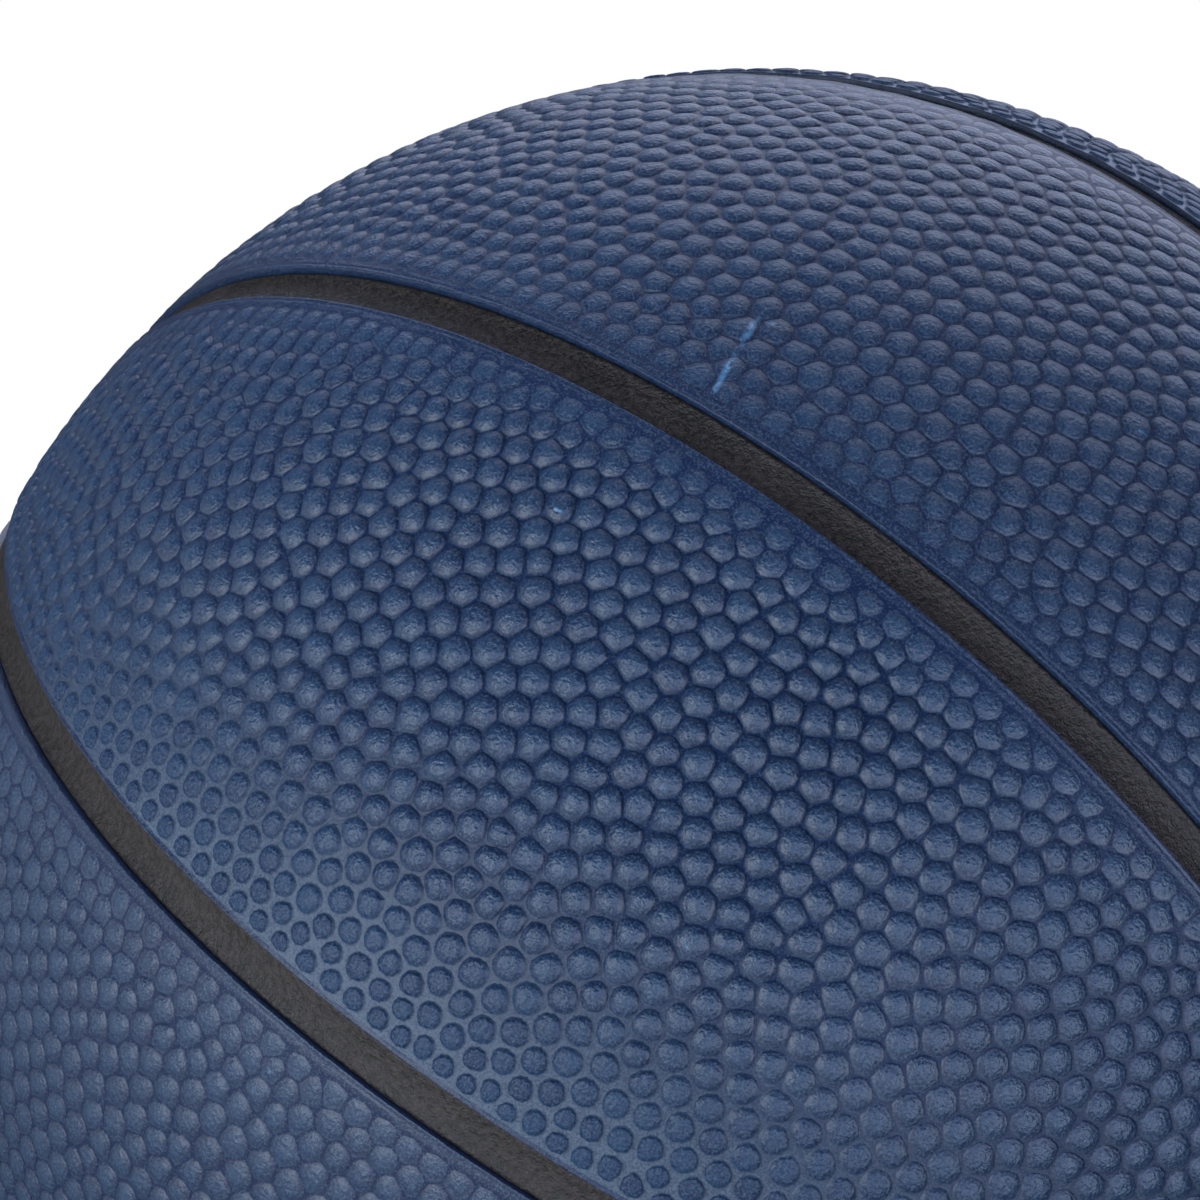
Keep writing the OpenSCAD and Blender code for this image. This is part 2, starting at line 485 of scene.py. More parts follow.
@dataclass(frozen=True)
class CoverRubber:
    """Satin navy rubber of the panels, paler where it is dusty or rubbed, darker in the creases by painted
    shade and paler on the pebbles' downward flanks by painted light.

    A name that ends in span says where a smooth step starts and ends, one that ends in tone is a weight in
    the step from the painted crease shade to navy, and one that ends in dust is a share of dust.
    """

    navy: Colour = srgb(24, 55, 87)
    # Painted shade: the colour of the creases between the pebbles.
    painted_crease_shade: Colour = srgb(12, 33, 66)
    dust: Colour = srgb(84, 99, 118)
    rubbed: Colour = srgb(80, 140, 185)
    grain: NoiseLook = NoiseLook(0.30 * MM, 3.0, 0.6)
    crinkle: NoiseLook = NoiseLook(0.65 * MM)
    blotch: NoiseLook = NoiseLook(14.0 * MM, 3.0)
    speck: NoiseLook = NoiseLook(1.1 * MM)
    grain_span: Span = (0.36, 0.66)
    relief_shade_tone: float = 1.3
    pebble_tone: float = 0.4
    blotch_tone: float = 0.4
    grain_tone: float = 1.1
    dust_and_light_tone: float = 0.9
    navy_span: Span = (0.95, 2.25)
    even_dust: float = 0.2
    blotch_dust: float = 0.3
    grain_dust: float = 0.5
    fleck_dust: float = 0.28
    fleck_span: Span = (0.55, 1.0)
    speck_span: Span = (0.66, 0.78)
    crown_span: Span = (0.5, 0.9)
    patch_span: Span = (0.52, 0.66)
    speck_wear: float = 0.4
    mark_grain: float = 0.5
    mark_span: Span = (0.45, 0.95)
    most_wear: float = 0.8
    valley_crinkle: float = 0.3
    crinkle_span: Span = (0.5, 0.95)
    grain_height: float = 0.22
    bump_depth: float = 0.4 * MM
    bump_strength: float = 0.8
    matt_roughness: float = 0.7
    matt_shine: float = 0.1
    satin_roughness: float = 0.3
    grain_roughness: float = 0.2
    satin_shine: float = 0.6

    def material(self, marks: Sequence[Mark]) -> bpy.types.Material:
        """Makes the material.

        Args:
            marks: the rubbed marks of this ball.

        Returns:
            The material, which reads the point values of the panels.
        """
        bench, material = Bench.for_material("cover_rubber")
        relief, tone, dust_and_light, satin_share = (bench.value(name) for name in COVER_VALUES)
        looks = (self.grain, self.crinkle, self.blotch, self.speck)
        grain, crinkle, blotch, speck = (bench.noise(look) for look in looks)
        sharp = grain.rise(*self.grain_span)
        # Low relief steps the colour towards the crease colour: painted shade in the creases between the
        # pebbles.
        shade_and_mottle = relief * self.relief_shade_tone + tone * self.pebble_tone + blotch * self.blotch_tone
        shade_and_mottle = shade_and_mottle + sharp * self.grain_tone + dust_and_light * self.dust_and_light_tone
        clean = bench.mix(shade_and_mottle.rise(*self.navy_span), self.painted_crease_shade, self.navy)
        # The pale colour goes on the dusty valleys and, as painted light from below, on the pebbles'
        # downward flanks.
        settled_and_lit = dust_and_light * (self.even_dust + blotch * self.blotch_dust + sharp * self.grain_dust)
        flecks = sharp.rise(*self.fleck_span) * self.fleck_dust
        dusted_and_lit = bench.mix(settled_and_lit.top(flecks), clean, self.dust)
        worn = speck.rise(*self.speck_span) * relief.rise(*self.crown_span) * blotch.rise(*self.patch_span)
        worn = worn * self.speck_wear
        for mark in marks:
            near = 1 - bench.from_line(mark.start, mark.end).rise(0.0, mark.half_width)
            worn = worn.top(near * (speck + grain * self.mark_grain).rise(*self.mark_span))
        colour = bench.mix(worn * self.most_wear, dusted_and_lit, self.rubbed)
        crinkled = self.valley_crinkle + relief.rise(*self.crinkle_span) * (1 - self.valley_crinkle)
        height = crinkle * crinkled + grain * self.grain_height
        normal = bench.bump(height, self.bump_depth, self.bump_strength)
        matt = bench.shader({
            "Base Color": colour,
            "Roughness": self.matt_roughness,
            "Normal": normal,
            "Specular IOR Level": self.matt_shine,
        })
        satin = bench.shader({
            "Base Color": colour,
            "Roughness": self.satin_roughness + sharp * self.grain_roughness,
            "Normal": normal,
            "Specular IOR Level": self.satin_shine,
        })
        bench.surface(bench.blend(satin_share, matt, satin))
        return material


@dataclass(frozen=True)
class PlainRubber:
    """Matte rubber with a fine leathery grain."""

    name: str
    dark: Colour
    pale: Colour
    grain: NoiseLook = NoiseLook(0.9 * MM, 3.0, 0.55)
    pores: NoiseLook = NoiseLook(0.3 * MM)
    blotch: NoiseLook = NoiseLook(9.0 * MM, 3.0)
    noise_span: Span = (0.35, 0.65)
    grain_tone: float = 0.5
    pore_tone: float = 0.35
    blotch_tone: float = 0.5
    darkening: float = 0.25
    grain_height: float = 0.7
    pore_height: float = 0.3
    bump_depth: float = 0.6 * MM
    bump_strength: float = 0.9
    roughness: float = 0.46
    pore_roughness: float = 0.2

    def material(self) -> bpy.types.Material:
        """Makes the material.

        Returns:
            The material.
        """
        bench, material = Bench.for_material(self.name)
        grain, pores, blotch = (bench.noise(look) for look in (self.grain, self.pores, self.blotch))
        pored = pores.rise(*self.noise_span)
        tone = grain.rise(*self.noise_span) * self.grain_tone + pored * self.pore_tone
        tone = tone + blotch * self.blotch_tone - self.darkening
        height = grain * self.grain_height + pores * self.pore_height
        bench.principled({
            "Base Color": bench.mix(tone, self.dark, self.pale),
            "Roughness": self.roughness + pored * self.pore_roughness,
            "Normal": bench.bump(height, self.bump_depth, self.bump_strength),
        })
        return material


CHANNEL_RUBBER = PlainRubber("channel_rubber", srgb(8, 7, 8), srgb(50, 43, 42))
VALVE_RUBBER = PlainRubber("valve_rubber", srgb(30, 28, 28), srgb(50, 47, 46))
INSERT_RUBBER = PlainRubber("insert_rubber", srgb(20, 19, 20), srgb(36, 34, 35))
BLADDER_RUBBER = PlainRubber("bladder_rubber", srgb(36, 32, 30), srgb(56, 50, 47), roughness=0.4)
CARCASS_RUBBER = PlainRubber("carcass_rubber", srgb(28, 27, 29), srgb(46, 44, 46))


@dataclass(frozen=True)
class WoundThread:
    """Nylon thread wound around the bladder in two crossing directions."""

    thread: Colour = srgb(214, 208, 194)
    shade: Colour = srgb(150, 142, 126)
    thread_width: float = 0.8 * MM
    ways: tuple[Triple, Triple] = ((0.36, 0.80, 0.48), (-0.62, 0.24, 0.75))
    drift: NoiseLook = NoiseLook(30 * MM, 1.0)
    drift_turn: float = 6.0
    fibre: NoiseLook = NoiseLook(0.2 * MM)
    even_tone: float = 0.7
    fibre_tone: float = 0.6
    roughness: float = 0.6
    fibre_roughness: float = 0.2
    bump_depth: float = 0.2 * MM
    bump_strength: float = 0.8

    def material(self) -> bpy.types.Material:
        """Makes the material.

        Returns:
            The material.
        """
        bench, material = Bench.for_material("wound_thread")
        drift = bench.noise(self.drift) * self.drift_turn
        turns = FULL_TURN / self.thread_width
        first, second = (
            (bench.measure("DOT_PRODUCT", bench.place, way) * turns + drift).wave() for way in self.ways
        )
        height = first.top(second) * 0.5 + 0.5
        fibre = bench.noise(self.fibre)
        tone = height * (self.even_tone + fibre * self.fibre_tone)
        bench.principled({
            "Base Color": bench.mix(tone, self.shade, self.thread),
            "Roughness": self.roughness + fibre * self.fibre_roughness,
            "Normal": bench.bump(height, self.bump_depth, self.bump_strength),
        })
        return material


# Sizes

def node_points(name: str) -> np.ndarray:
    """Reads the mesh of a CAD node.

    Args:
        name: name of the node.

    Returns:
        One row per point, in metres.
    """
    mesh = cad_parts[name].data
    points = np.zeros(3 * len(mesh.vertices), np.float32)
    mesh.vertices.foreach_get("co", points)
    return points.reshape(-1, 3).astype(float)


@dataclass(frozen=True)
class BallSizes:
    """Radii and widths that the sub-assemblies share, read from the frame."""

    radius: float
    inner_radius: float
    floor_radius: float
    strip_edge_radius: float
    channel_half: float
    strip_half: float
    pole_hole: float
    pole_disc: float
    barrel_hole: float
    panel_count: int

    @classmethod
    def from_frame(cls) -> "BallSizes":
        """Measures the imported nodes.

        Returns:
            The sizes, in metres.
        """
        panel = node_points("cover_panel_1")
        strip = node_points("channel_strip_1")
        valve_disc = node_points("valve_pole_disc")
        reach = np.linalg.norm(panel, axis=1)
        around = np.hypot(panel[:, 1], panel[:, 2])
        disc_around = np.hypot(valve_disc[:, 1], valve_disc[:, 2])
        return cls(
            radius=float(reach.max()),
            inner_radius=float(reach.min()),
            floor_radius=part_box("valve_insert")[1].x,
            strip_edge_radius=float(np.hypot(strip[:, 0], strip[:, 2]).max()),
            channel_half=float(-panel[:, 1].max()),
            strip_half=float(strip[:, 1].max()),
            pole_hole=float(around.min()),
            pole_disc=float(disc_around.max()),
            barrel_hole=float(disc_around.min()),
            panel_count=sum(name.startswith("cover_panel_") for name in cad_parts),
        )

    @property
    def half_turn(self) -> float:
        """Half the turn from one channel to the next."""
        return math.pi / self.panel_count

    def axes(self, turn: float) -> np.ndarray:
        """Rows across, pole and middle of a place on the belt of the ball.

        Args:
            turn: angle from the top of the ball towards its front.

        Returns:
            The three directions in the shared frame, as rows.
        """
        across = (0.0, -math.cos(turn), -math.sin(turn))
        middle = (0.0, -math.sin(turn), math.cos(turn))
        return np.array([across, (1.0, 0.0, 0.0), middle])


# Panels

@dataclass
class PebbleLayout:
    """Places the pebbles of one panel, in the panel's own axes.

    The margins are shares of the pitch at the edge, and mirror_reach is in pitches.
    """

    sizes: BallSizes
    rng: np.random.Generator
    crisp_high: bool
    pitch_middle: float = 4.55 * MM
    pitch_edge: float = 3.85 * MM
    pitch_reach: float = 15.0 * MM
    crisp_border: float = 0.85 * MM
    shallow_border: float = 1.9 * MM
    tip_radius: float = 17.0 * MM
    steps: int = 90
    relist_every: int = 10
    neighbours: int = 12
    crowding: float = 1.16
    speed: float = 0.24
    jitter: float = 0.2 * MM
    first_margin: float = 0.2
    last_margin: float = 0.25
    mirror_reach: float = 2.0

    @property
    def tip_latitude(self) -> float:
        """Latitude where the pebbles end towards the poles."""
        return math.acos(self.tip_radius / self.sizes.radius)

    @property
    def borders(self) -> np.ndarray:
        """Width of the smooth border along the low and the high edge."""
        high = self.crisp_border if self.crisp_high else self.shallow_border
        return np.array([self.shallow_border, high])

    def edge_normals(self) -> np.ndarray:
        """Directions into the panel from its low and its high edge."""
        half = self.sizes.half_turn
        return np.array([
            (math.cos(half), 0.0, math.sin(half)),
            (-math.cos(half), 0.0, math.sin(half)),
        ])

    def edge_gaps(self, places: np.ndarray) -> np.ndarray:
        """Distance of each place from the panel's low and high edge."""
        return self.sizes.radius * places @ self.edge_normals().T - self.sizes.channel_half

    def field_gaps(self, places: np.ndarray) -> np.ndarray:
        """Distance of each place from the pebbled field's low and high side."""
        return self.edge_gaps(places) - self.borders

    def pitch_at(self, places: np.ndarray) -> np.ndarray:
        """Distance between pebbles at each place."""
        grown = rise(0.0, self.pitch_reach, self.field_gaps(places).min(axis=1))
        return self.pitch_edge + (self.pitch_middle - self.pitch_edge) * grown

    def end_gaps(self, places: np.ndarray) -> np.ndarray:
        """Distance of each place from the nearer end of the pebbled field."""
        return self.sizes.radius * (self.tip_latitude - np.abs(np.arcsin(np.clip(places[:, 1], -1.0, 1.0))))

    def inside(self, places: np.ndarray, margin: float) -> np.ndarray:
        """Whether each place lies inside the pebbled field by a margin."""
        return np.minimum(self.field_gaps(places).min(axis=1), self.end_gaps(places)) > margin

    def first_places(self) -> np.ndarray:
        """Spreads places evenly over the field, by the golden angle, and thins them where the pitch is wide.

        Returns:
            The places.
        """
        area = 4 * math.pi * self.sizes.radius ** 2
        count = int(area / (math.sin(math.pi / 3) * self.pitch_edge ** 2))
        step = np.arange(count) + 0.5
        level = 1 - 2 * step / count
        golden_angle = math.pi * (3 - math.sqrt(5))
        angle = step * golden_angle
        spread = np.sqrt(1 - level ** 2)
        places = np.stack([spread * np.cos(angle), spread * np.sin(angle), level], axis=1)
        turned = places @ np.linalg.qr(self.rng.normal(size=(3, 3)))[0].T
        kept = turned[(turned[:, 2] > 0) & self.inside(turned, self.first_margin * self.pitch_edge)]
        chance = (self.pitch_edge / self.pitch_at(kept)) ** 2
        return kept[self.rng.random(len(kept)) < chance]

    def settle(self) -> np.ndarray:
        """Lets the pebbles push each other apart until they are evenly packed.

        Returns:
            Their places.
        """
        places = self.first_places()
        radius = self.sizes.radius
        for step in range(self.steps):
            if step % self.relist_every == 0:
                near = np.argpartition(-(places @ places.T), self.neighbours + 1, axis=1)
                near = near[:, : self.neighbours + 1]
            pitch = self.pitch_at(places)
            apart = (places[:, None] - places[near]) * radius
            length = np.linalg.norm(apart, axis=2)
            reach = (pitch[:, None] + pitch[near]) / 2
            push = np.clip(self.crowding * reach - length, 0.0, None) * (length > 0)
            move = (apart * (push / np.maximum(length, TINY))[..., None]).sum(axis=1)
            wall_push = np.clip(self.crowding * pitch[:, None] - 2 * self.field_gaps(places), 0.0, None)
            move += wall_push @ self.edge_normals()
            end_push = np.clip(self.crowding * pitch - 2 * self.end_gaps(places), 0.0, None)
            move[:, 1] -= np.sign(places[:, 1]) * end_push
            places = unit(places + self.speed * move / radius)
        places = unit(places + self.rng.normal(size=places.shape) * self.jitter / radius)
        return places[self.inside(places, self.last_margin * self.pitch_edge)]

    def mirrored(self, places: np.ndarray) -> np.ndarray:
        """Mirrors the places near the field's border.

        Args:
            places: places in the field.

        Returns:
            Their images on the far side of the border.
        """
        near = self.mirror_reach * self.pitch_middle
        images = [places]
        for normal, gap in zip(self.edge_normals(), self.field_gaps(places).T):
            close = gap < near
            shift = 2 * gap[close, None] * normal / self.sizes.radius
            images.append(unit(places[close] - shift))
        sides = np.concatenate(images)
        ends = sides[self.end_gaps(sides) < near]
        latitude = np.arcsin(np.clip(ends[:, 1], -1.0, 1.0))
        turned = 2 * self.tip_latitude * np.sign(latitude) - latitude
        around = np.arctan2(ends[:, 0], ends[:, 2])
        flat = np.cos(turned)
        end_images = np.stack([flat * np.sin(around), np.sin(turned), flat * np.cos(around)], axis=1)
        return np.concatenate([*images[1:], end_images])


def chart(places: np.ndarray) -> np.ndarray:
    """Flat map of a panel's places that keeps circles round."""
    return 2 * places[:, :2] / (1 + places[:, 2:3])


def triangulate(flat: np.ndarray, edges: np.ndarray | None = None) -> np.ndarray:
    """Triangles over flat points.

    Args:
        flat: one row per point.
        edges: pairs of point numbers that have to be sides of triangles.

    Returns:
        One row of three point numbers per triangle, counter-clockwise.
    """
    joined = [] if edges is None else edges.tolist()
    _, _, faces, sources, _, _ = delaunay_2d_cdt([Vector(row) for row in flat], joined, [], 0, TINY)
    first = np.array([numbers[0] if numbers else -1 for numbers in sources])
    triangles = first[np.array(faces)]
    triangles = triangles[(triangles >= 0).all(axis=1)]
    one, two, three = (flat[triangles[:, k]] for k in range(3))
    side = two - one
    other = three - one
    clockwise = side[:, 0] * other[:, 1] < side[:, 1] * other[:, 0]
    triangles[clockwise] = triangles[clockwise][:, ::-1]
    return triangles


def enclosed(flat: np.ndarray, starts: np.ndarray, ends: np.ndarray) -> np.ndarray:
    """Tells which flat points lie inside an outline.

    Args:
        flat: one row per point.
        starts: where each side of the outline starts.
        ends: where each side ends.

    Returns:
        For each point, whether it is inside.
    """
    across, up = flat[:, :1], flat[:, 1:]
    crosses = (starts[:, 1] > up) != (ends[:, 1] > up)
    climb = ends[:, 1] - starts[:, 1]
    slope = (ends[:, 0] - starts[:, 0]) / np.where(climb == 0, 1.0, climb)
    meets = starts[:, 0] + (up - starts[:, 1]) * slope
    return ((crosses & (across < meets)).sum(axis=1) % 2).astype(bool)


# Corners of cells in one square of the flat map become one corner. The squares are laid three times, each
# time shifted, so that no border of a square keeps two near corners apart.
CORNER_SIZE = 3e-4
CORNER_SHIFTS = (0.0, 1 / 3, 2 / 3)


def merge_corners(corners: np.ndarray) -> tuple[np.ndarray, np.ndarray]:
    """Makes one corner of those that nearly meet.

    Args:
        corners: places of the corners.

    Returns:
        The places that are left, and for each given corner the number of its place among them.
    """
    numbers = np.arange(len(corners))
    for shift in CORNER_SHIFTS:
        squares = np.round(chart(corners) / CORNER_SIZE + shift)
        _, chosen, merged = np.unique(squares, axis=0, return_index=True, return_inverse=True)
        corners = corners[chosen]
        numbers = merged.ravel()[numbers]
    return corners, numbers


def next_in_rings(sizes: np.ndarray) -> np.ndarray:
    """Finds the way around closed rings that are listed one after another.

    Args:
        sizes: number of places in each ring.

    Returns:
        For each place, the place after it in its ring.
    """
    last = np.cumsum(sizes)
    following = np.arange(last[-1]) + 1
    following[last - 1] = last - sizes
    return following


@dataclass
class PebbleCells:
    """The cells around the pebbles of one panel.

    sizes is the number of points on each cell's rim, rim holds their numbers cell by cell, points their
    places and outline the sides of the whole field.
    """

    sizes: np.ndarray
    rim: np.ndarray
    points: np.ndarray
    outline: np.ndarray

    @classmethod
    def around(cls, places: np.ndarray, images: np.ndarray, parts: int) -> "PebbleCells":
        """Divides the field into the cells nearest to each pebble.

        Args:
            places: the pebbles.
            images: mirrored pebbles that bound the field.
            parts: how many pieces each side of a cell is cut into.

        Returns:
            The cells.
        """
        every = np.concatenate([places, images])
        triangles = triangulate(chart(every))
        one, two, three = (every[triangles[:, k]] for k in range(3))
        centres, corner = merge_corners(unit(np.cross(two - one, three - one)))
        met = np.stack([triangles.T.ravel(), np.tile(corner, 3)], axis=1)
        owner, corner = np.unique(met[met[:, 0] < len(places)], axis=0).T
        spread = chart(centres)[corner] - chart(every)[owner]
        order = np.lexsort((np.arctan2(spread[:, 1], spread[:, 0]), owner))
        owner, corner = owner[order], corner[order]
        sizes = np.bincount(owner, minlength=len(places))
        following = next_in_rings(sizes)
        ends = corner[following]
        pairs = np.stack([np.minimum(corner, ends), np.maximum(corner, ends)], axis=1)
        sides, side_of, uses = np.unique(pairs, axis=0, return_inverse=True, return_counts=True)
        side_of = side_of.ravel()
        used, corner_of = np.unique(corner, return_inverse=True)
        corner_points = centres[used]
        shares = (np.arange(1, parts) / parts)[:, None]
        low, high = centres[sides[:, :1]], centres[sides[:, 1:]]
        between = unit(low + (high - low) * shares)
        inner = len(used) + side_of[:, None] * (parts - 1) + np.arange(parts - 1)
        backwards = corner > ends
        inner[backwards] = inner[backwards][:, ::-1]
        rim = np.concatenate([corner_of[:, None], inner], axis=1)
        alone = uses[side_of] == 1
        stops = corner_of[following]
        outline = np.concatenate([rim[alone], stops[alone][:, None]], axis=1)
        return cls(
            sizes=sizes * parts,
            rim=rim.ravel(),
            points=np.concatenate([corner_points, between.reshape(-1, 3)]),
            outline=np.stack([outline[:, :-1].ravel(), outline[:, 1:].ravel()], axis=1),
        )

    @cached_property
    def owner(self) -> np.ndarray:
        """Pebble of each place on the rims."""
        return np.repeat(np.arange(len(self.sizes)), self.sizes)

    @cached_property
    def after(self) -> np.ndarray:
        """For each place on the rims, the place after it."""
        return next_in_rings(self.sizes)

    @cached_property
    def starts(self) -> np.ndarray:
        """Where each cell's rim starts."""
        return np.cumsum(self.sizes) - self.sizes


@dataclass(frozen=True)
class PebbleRing:
    """One ring of a pebble.

    share and limit are its radius as a share of the foot's, and of the cell's at most. Its height is
    button_height where the valleys are wide and dome_height where they are narrow, as shares of the
    pebble's. Its dust value above 0 gives it the valleys' dust, and on the downward flanks painted light
    from below; below 0 it makes the ring darker where the valleys are wide.
    """

    share: float
    limit: float
    button_height: float
    dome_height: float
    dust: float


PEBBLE_RINGS = (
    PebbleRing(1.05, 0.99, 0.0, 0.0, 1.0),
    PebbleRing(1.0, 0.965, 0.03, 0.04, 0.9),
    PebbleRing(0.94, 0.91, 0.50, 0.30, 0.6),
    PebbleRing(0.83, 0.80, 0.78, 0.50, -0.2),
    PebbleRing(0.60, 0.58, 0.92, 0.76, -0.4),
    PebbleRing(0.31, 0.30, 0.98, 0.935, -0.4),
)


@dataclass(frozen=True)
class EdgeStep:
    """One line along a panel's edge: distance from the edge and depth, on the crisp and the shallow side."""

    crisp_inset: float
    crisp_drop: float
    shallow_inset: float
    shallow_drop: float
    wobble: float = 0.0


EDGE_STEPS = (
    EdgeStep(0.62 * MM, 0.54 * MM, 1.40 * MM, 0.30 * MM),
    EdgeStep(0.56 * MM, 0.54 * MM, 1.08 * MM, 0.27 * MM, 0.05 * MM),
    EdgeStep(0.50 * MM, 0.53 * MM, 0.88 * MM, 0.28 * MM, 0.05 * MM),
    EdgeStep(0.44 * MM, 0.52 * MM, 0.70 * MM, 0.33 * MM, 0.04 * MM),
    EdgeStep(0.38 * MM, 0.50 * MM, 0.56 * MM, 0.32 * MM, 0.04 * MM),
    EdgeStep(0.29 * MM, 0.46 * MM, 0.40 * MM, 0.27 * MM, 0.05 * MM),
    EdgeStep(0.17 * MM, 0.43 * MM, 0.20 * MM, 0.26 * MM, 0.05 * MM),
    EdgeStep(0.05 * MM, 0.46 * MM, 0.06 * MM, 0.30 * MM, 0.03 * MM),
    EdgeStep(0.0, 0.54 * MM, 0.0, 0.40 * MM),
    EdgeStep(0.0, 1.2 * MM, 0.0, 1.2 * MM),
)


@dataclass(frozen=True)
class PlacedPoints:
    """Points of a panel's mesh: their numbers in it and their places on the panel."""

    numbers: np.ndarray
    places: np.ndarray


@dataclass(frozen=True)
class PebbleShapes:
    """Shapes of one panel's pebbles: one centre per pebble, and the other values along the cells' rims."""

    centres: np.ndarray
    away: np.ndarray
    reach: np.ndarray
    foot: np.ndarray
    tone: np.ndarray
    tallness: np.ndarray
    tilt: np.ndarray


@dataclass
class CoverPanel:
    """One pebbled panel: a closed shell from pole to pole between two channels.

    Even panels have deep pebbles and one crisply moulded edge, odd ones soft pebbles and shallow edges. A
    name that ends in span says where a smooth step starts and ends, as parts of the ball's radius.
    """

    sizes: BallSizes
    number: int
    material: bpy.types.Material
    deep_height: float = 0.92 * MM
    soft_height: float = 0.52 * MM
    crisp_height: float = 0.56 * MM
    shallow_height: float = 0.30 * MM
    shallow_reach: float = 13.0 * MM
    deepest_latitude: float = -0.08
    worn_span: Span = (0.22, 0.52)
    softening: float = 0.45
    valley_width: float = 0.11
    valley_reach: float = 32.0 * MM
    narrow_roundness: float = 0.4
    added_roundness: float = 0.2
    smoothing: int = 6
    widest_foot: float = 1.3
    foot_scatter: Span = (0.97, 1.0)
    height_scatter: Span = (0.82, 1.0)
    full_cell: float = 1.7 * MM
    least_height: float = 0.2
    small_power: float = 1.5
    border_height: float = 0.5
    tilt_scatter: float = 0.08
    clean_span: Span = (0.35, 0.75)
    cleaning: float = 0.7
    # Painted light: share of pale colour on the pebbles' downward flanks, standing in for light from below.
    painted_underside_light: float = 0.55
    crown_dust: float = -0.4
    soft_satin: float = 0.35
    upper_satin: float = 0.4
    upper_span: Span = (0.1, 0.5)
    plain_pole_span: Span = (0.0, 0.4)
    satin_start: float = 20.0 * MM
    satin_reach: float = 46.0 * MM
    near_satin: float = 0.5
    worn_satin: float = 0.3
    climbing_satin: float = 4.0
    wide_matt: float = 0.55
    border_relief: float = 0.35
    border_satin: float = 0.8
    even_tone: float = 0.5
    ripple_lengths: Span = (3 * MM, 26 * MM)
    ripple_count: int = 24
    tip_blend: float = 0.6 * MM
    side_parts: int = 2
    long_steps: int = 240
    arc_steps: int = 12
    map_width: float = 0.28
    map_stretches: int = 3
    map_gutter: float = 0.02
    map_margin: float = 2 * MM
    wall_start: float = 0.5 * MM
    skin_depth: float = 0.1 * MM

    def __post_init__(self) -> None:
        """Sets up the panel's axes and its random numbers."""
        self.rng = np.random.default_rng(self.number)
        self.crisp_high = self.number % 2 == 0
        self.layout = PebbleLayout(self.sizes, self.rng, self.crisp_high)
        self.axes = self.sizes.axes((2 * self.number - 1) * self.sizes.half_turn)
        self.pebble_height = self.deep_height if self.crisp_high else self.soft_height
        self.draft = MeshDraft(COVER_VALUES)

    def in_frame(self, places: np.ndarray, radii: np.ndarray | float) -> np.ndarray:
        """Points of the shared frame from places on the panel and their radii."""
        return (places * np.asarray(radii)[..., None]) @ self.axes

    def crisp_gap(self, places: np.ndarray) -> np.ndarray:
        """Distance from the panel's crisply moulded edge, or a long way if it has none."""
        gaps = self.layout.edge_gaps(places)
        return gaps[:, 1] if self.crisp_high else np.full(len(places), self.sizes.radius)

    def shallow_gap(self, places: np.ndarray) -> np.ndarray:
        """Distance from the panel's nearest shallow edge."""
        gaps = self.layout.edge_gaps(places)
        return gaps[:, 0] if self.crisp_high else gaps.min(axis=1)

    def inland_at(self, places: np.ndarray) -> np.ndarray:
        """How far each place is from the shallow edges: 0 at them, 1 where they no longer matter."""
        return rise(self.layout.shallow_border, self.shallow_reach, self.shallow_gap(places))

    def narrowness_at(self, places: np.ndarray) -> np.ndarray:
        """How near the pebbles stand at each place: 0 wide valleys, 1 narrow creases."""
        return rise(self.layout.crisp_border, self.valley_reach, self.crisp_gap(places))

    def openness_at(self, places: np.ndarray) -> np.ndarray:
        """How far apart the pebbles stand: 1 wide valleys, 0 narrow creases."""
        return 1 - self.narrowness_at(places)

    def softness_at(self, places: np.ndarray) -> np.ndarray:
        """Tells how worn the deep pebbles' mould is.

        Args:
            places: places on the panel.

        Returns:
            For each place 0 around the middle of the panel, 1 towards the poles.
        """
        if not self.crisp_high:
            return np.zeros(len(places))
        along = (places @ self.axes)[:, 0]
        return rise(*self.worn_span, np.abs(along - self.deepest_latitude))

    def depth_at(self, places: np.ndarray) -> np.ndarray:
        """Tells how high the pebbles stand above their valleys.

        Args:
            places: places on the panel.

        Returns:
            The height at each place.
        """
        tall = self.pebble_height * (1 - self.softening * self.softness_at(places))
        deep = self.crisp_height + (tall - self.crisp_height) * self.narrowness_at(places)
        return self.shallow_height + (deep - self.shallow_height) * self.inland_at(places)

    def dust_at(self, places: np.ndarray) -> np.ndarray:
        """How dusty the valleys are: dustier the wider they are, cleaner towards the plain pole."""
        clean = self.cleaning * rise(*self.clean_span, -(places @ self.axes)[:, 0])
        return self.openness_at(places) * (1 - clean)

    def satin_at(self, places: np.ndarray) -> np.ndarray:
        """Tells how satin the valleys are; the creases between deep pebbles are matt.

        Args:
            places: places on the panel.

        Returns:
            For each place 0 matt, 1 satin.
        """
        if not self.crisp_high:
            along, _, height = (places @ self.axes).T
            upper = self.upper_satin * rise(*self.upper_span, height) * rise(*self.plain_pole_span, -along)
            return self.soft_satin + upper
        near = 1 - rise(self.satin_start, self.satin_reach, self.crisp_gap(places))
        return np.maximum(self.near_satin * near, self.worn_satin * self.softness_at(places))

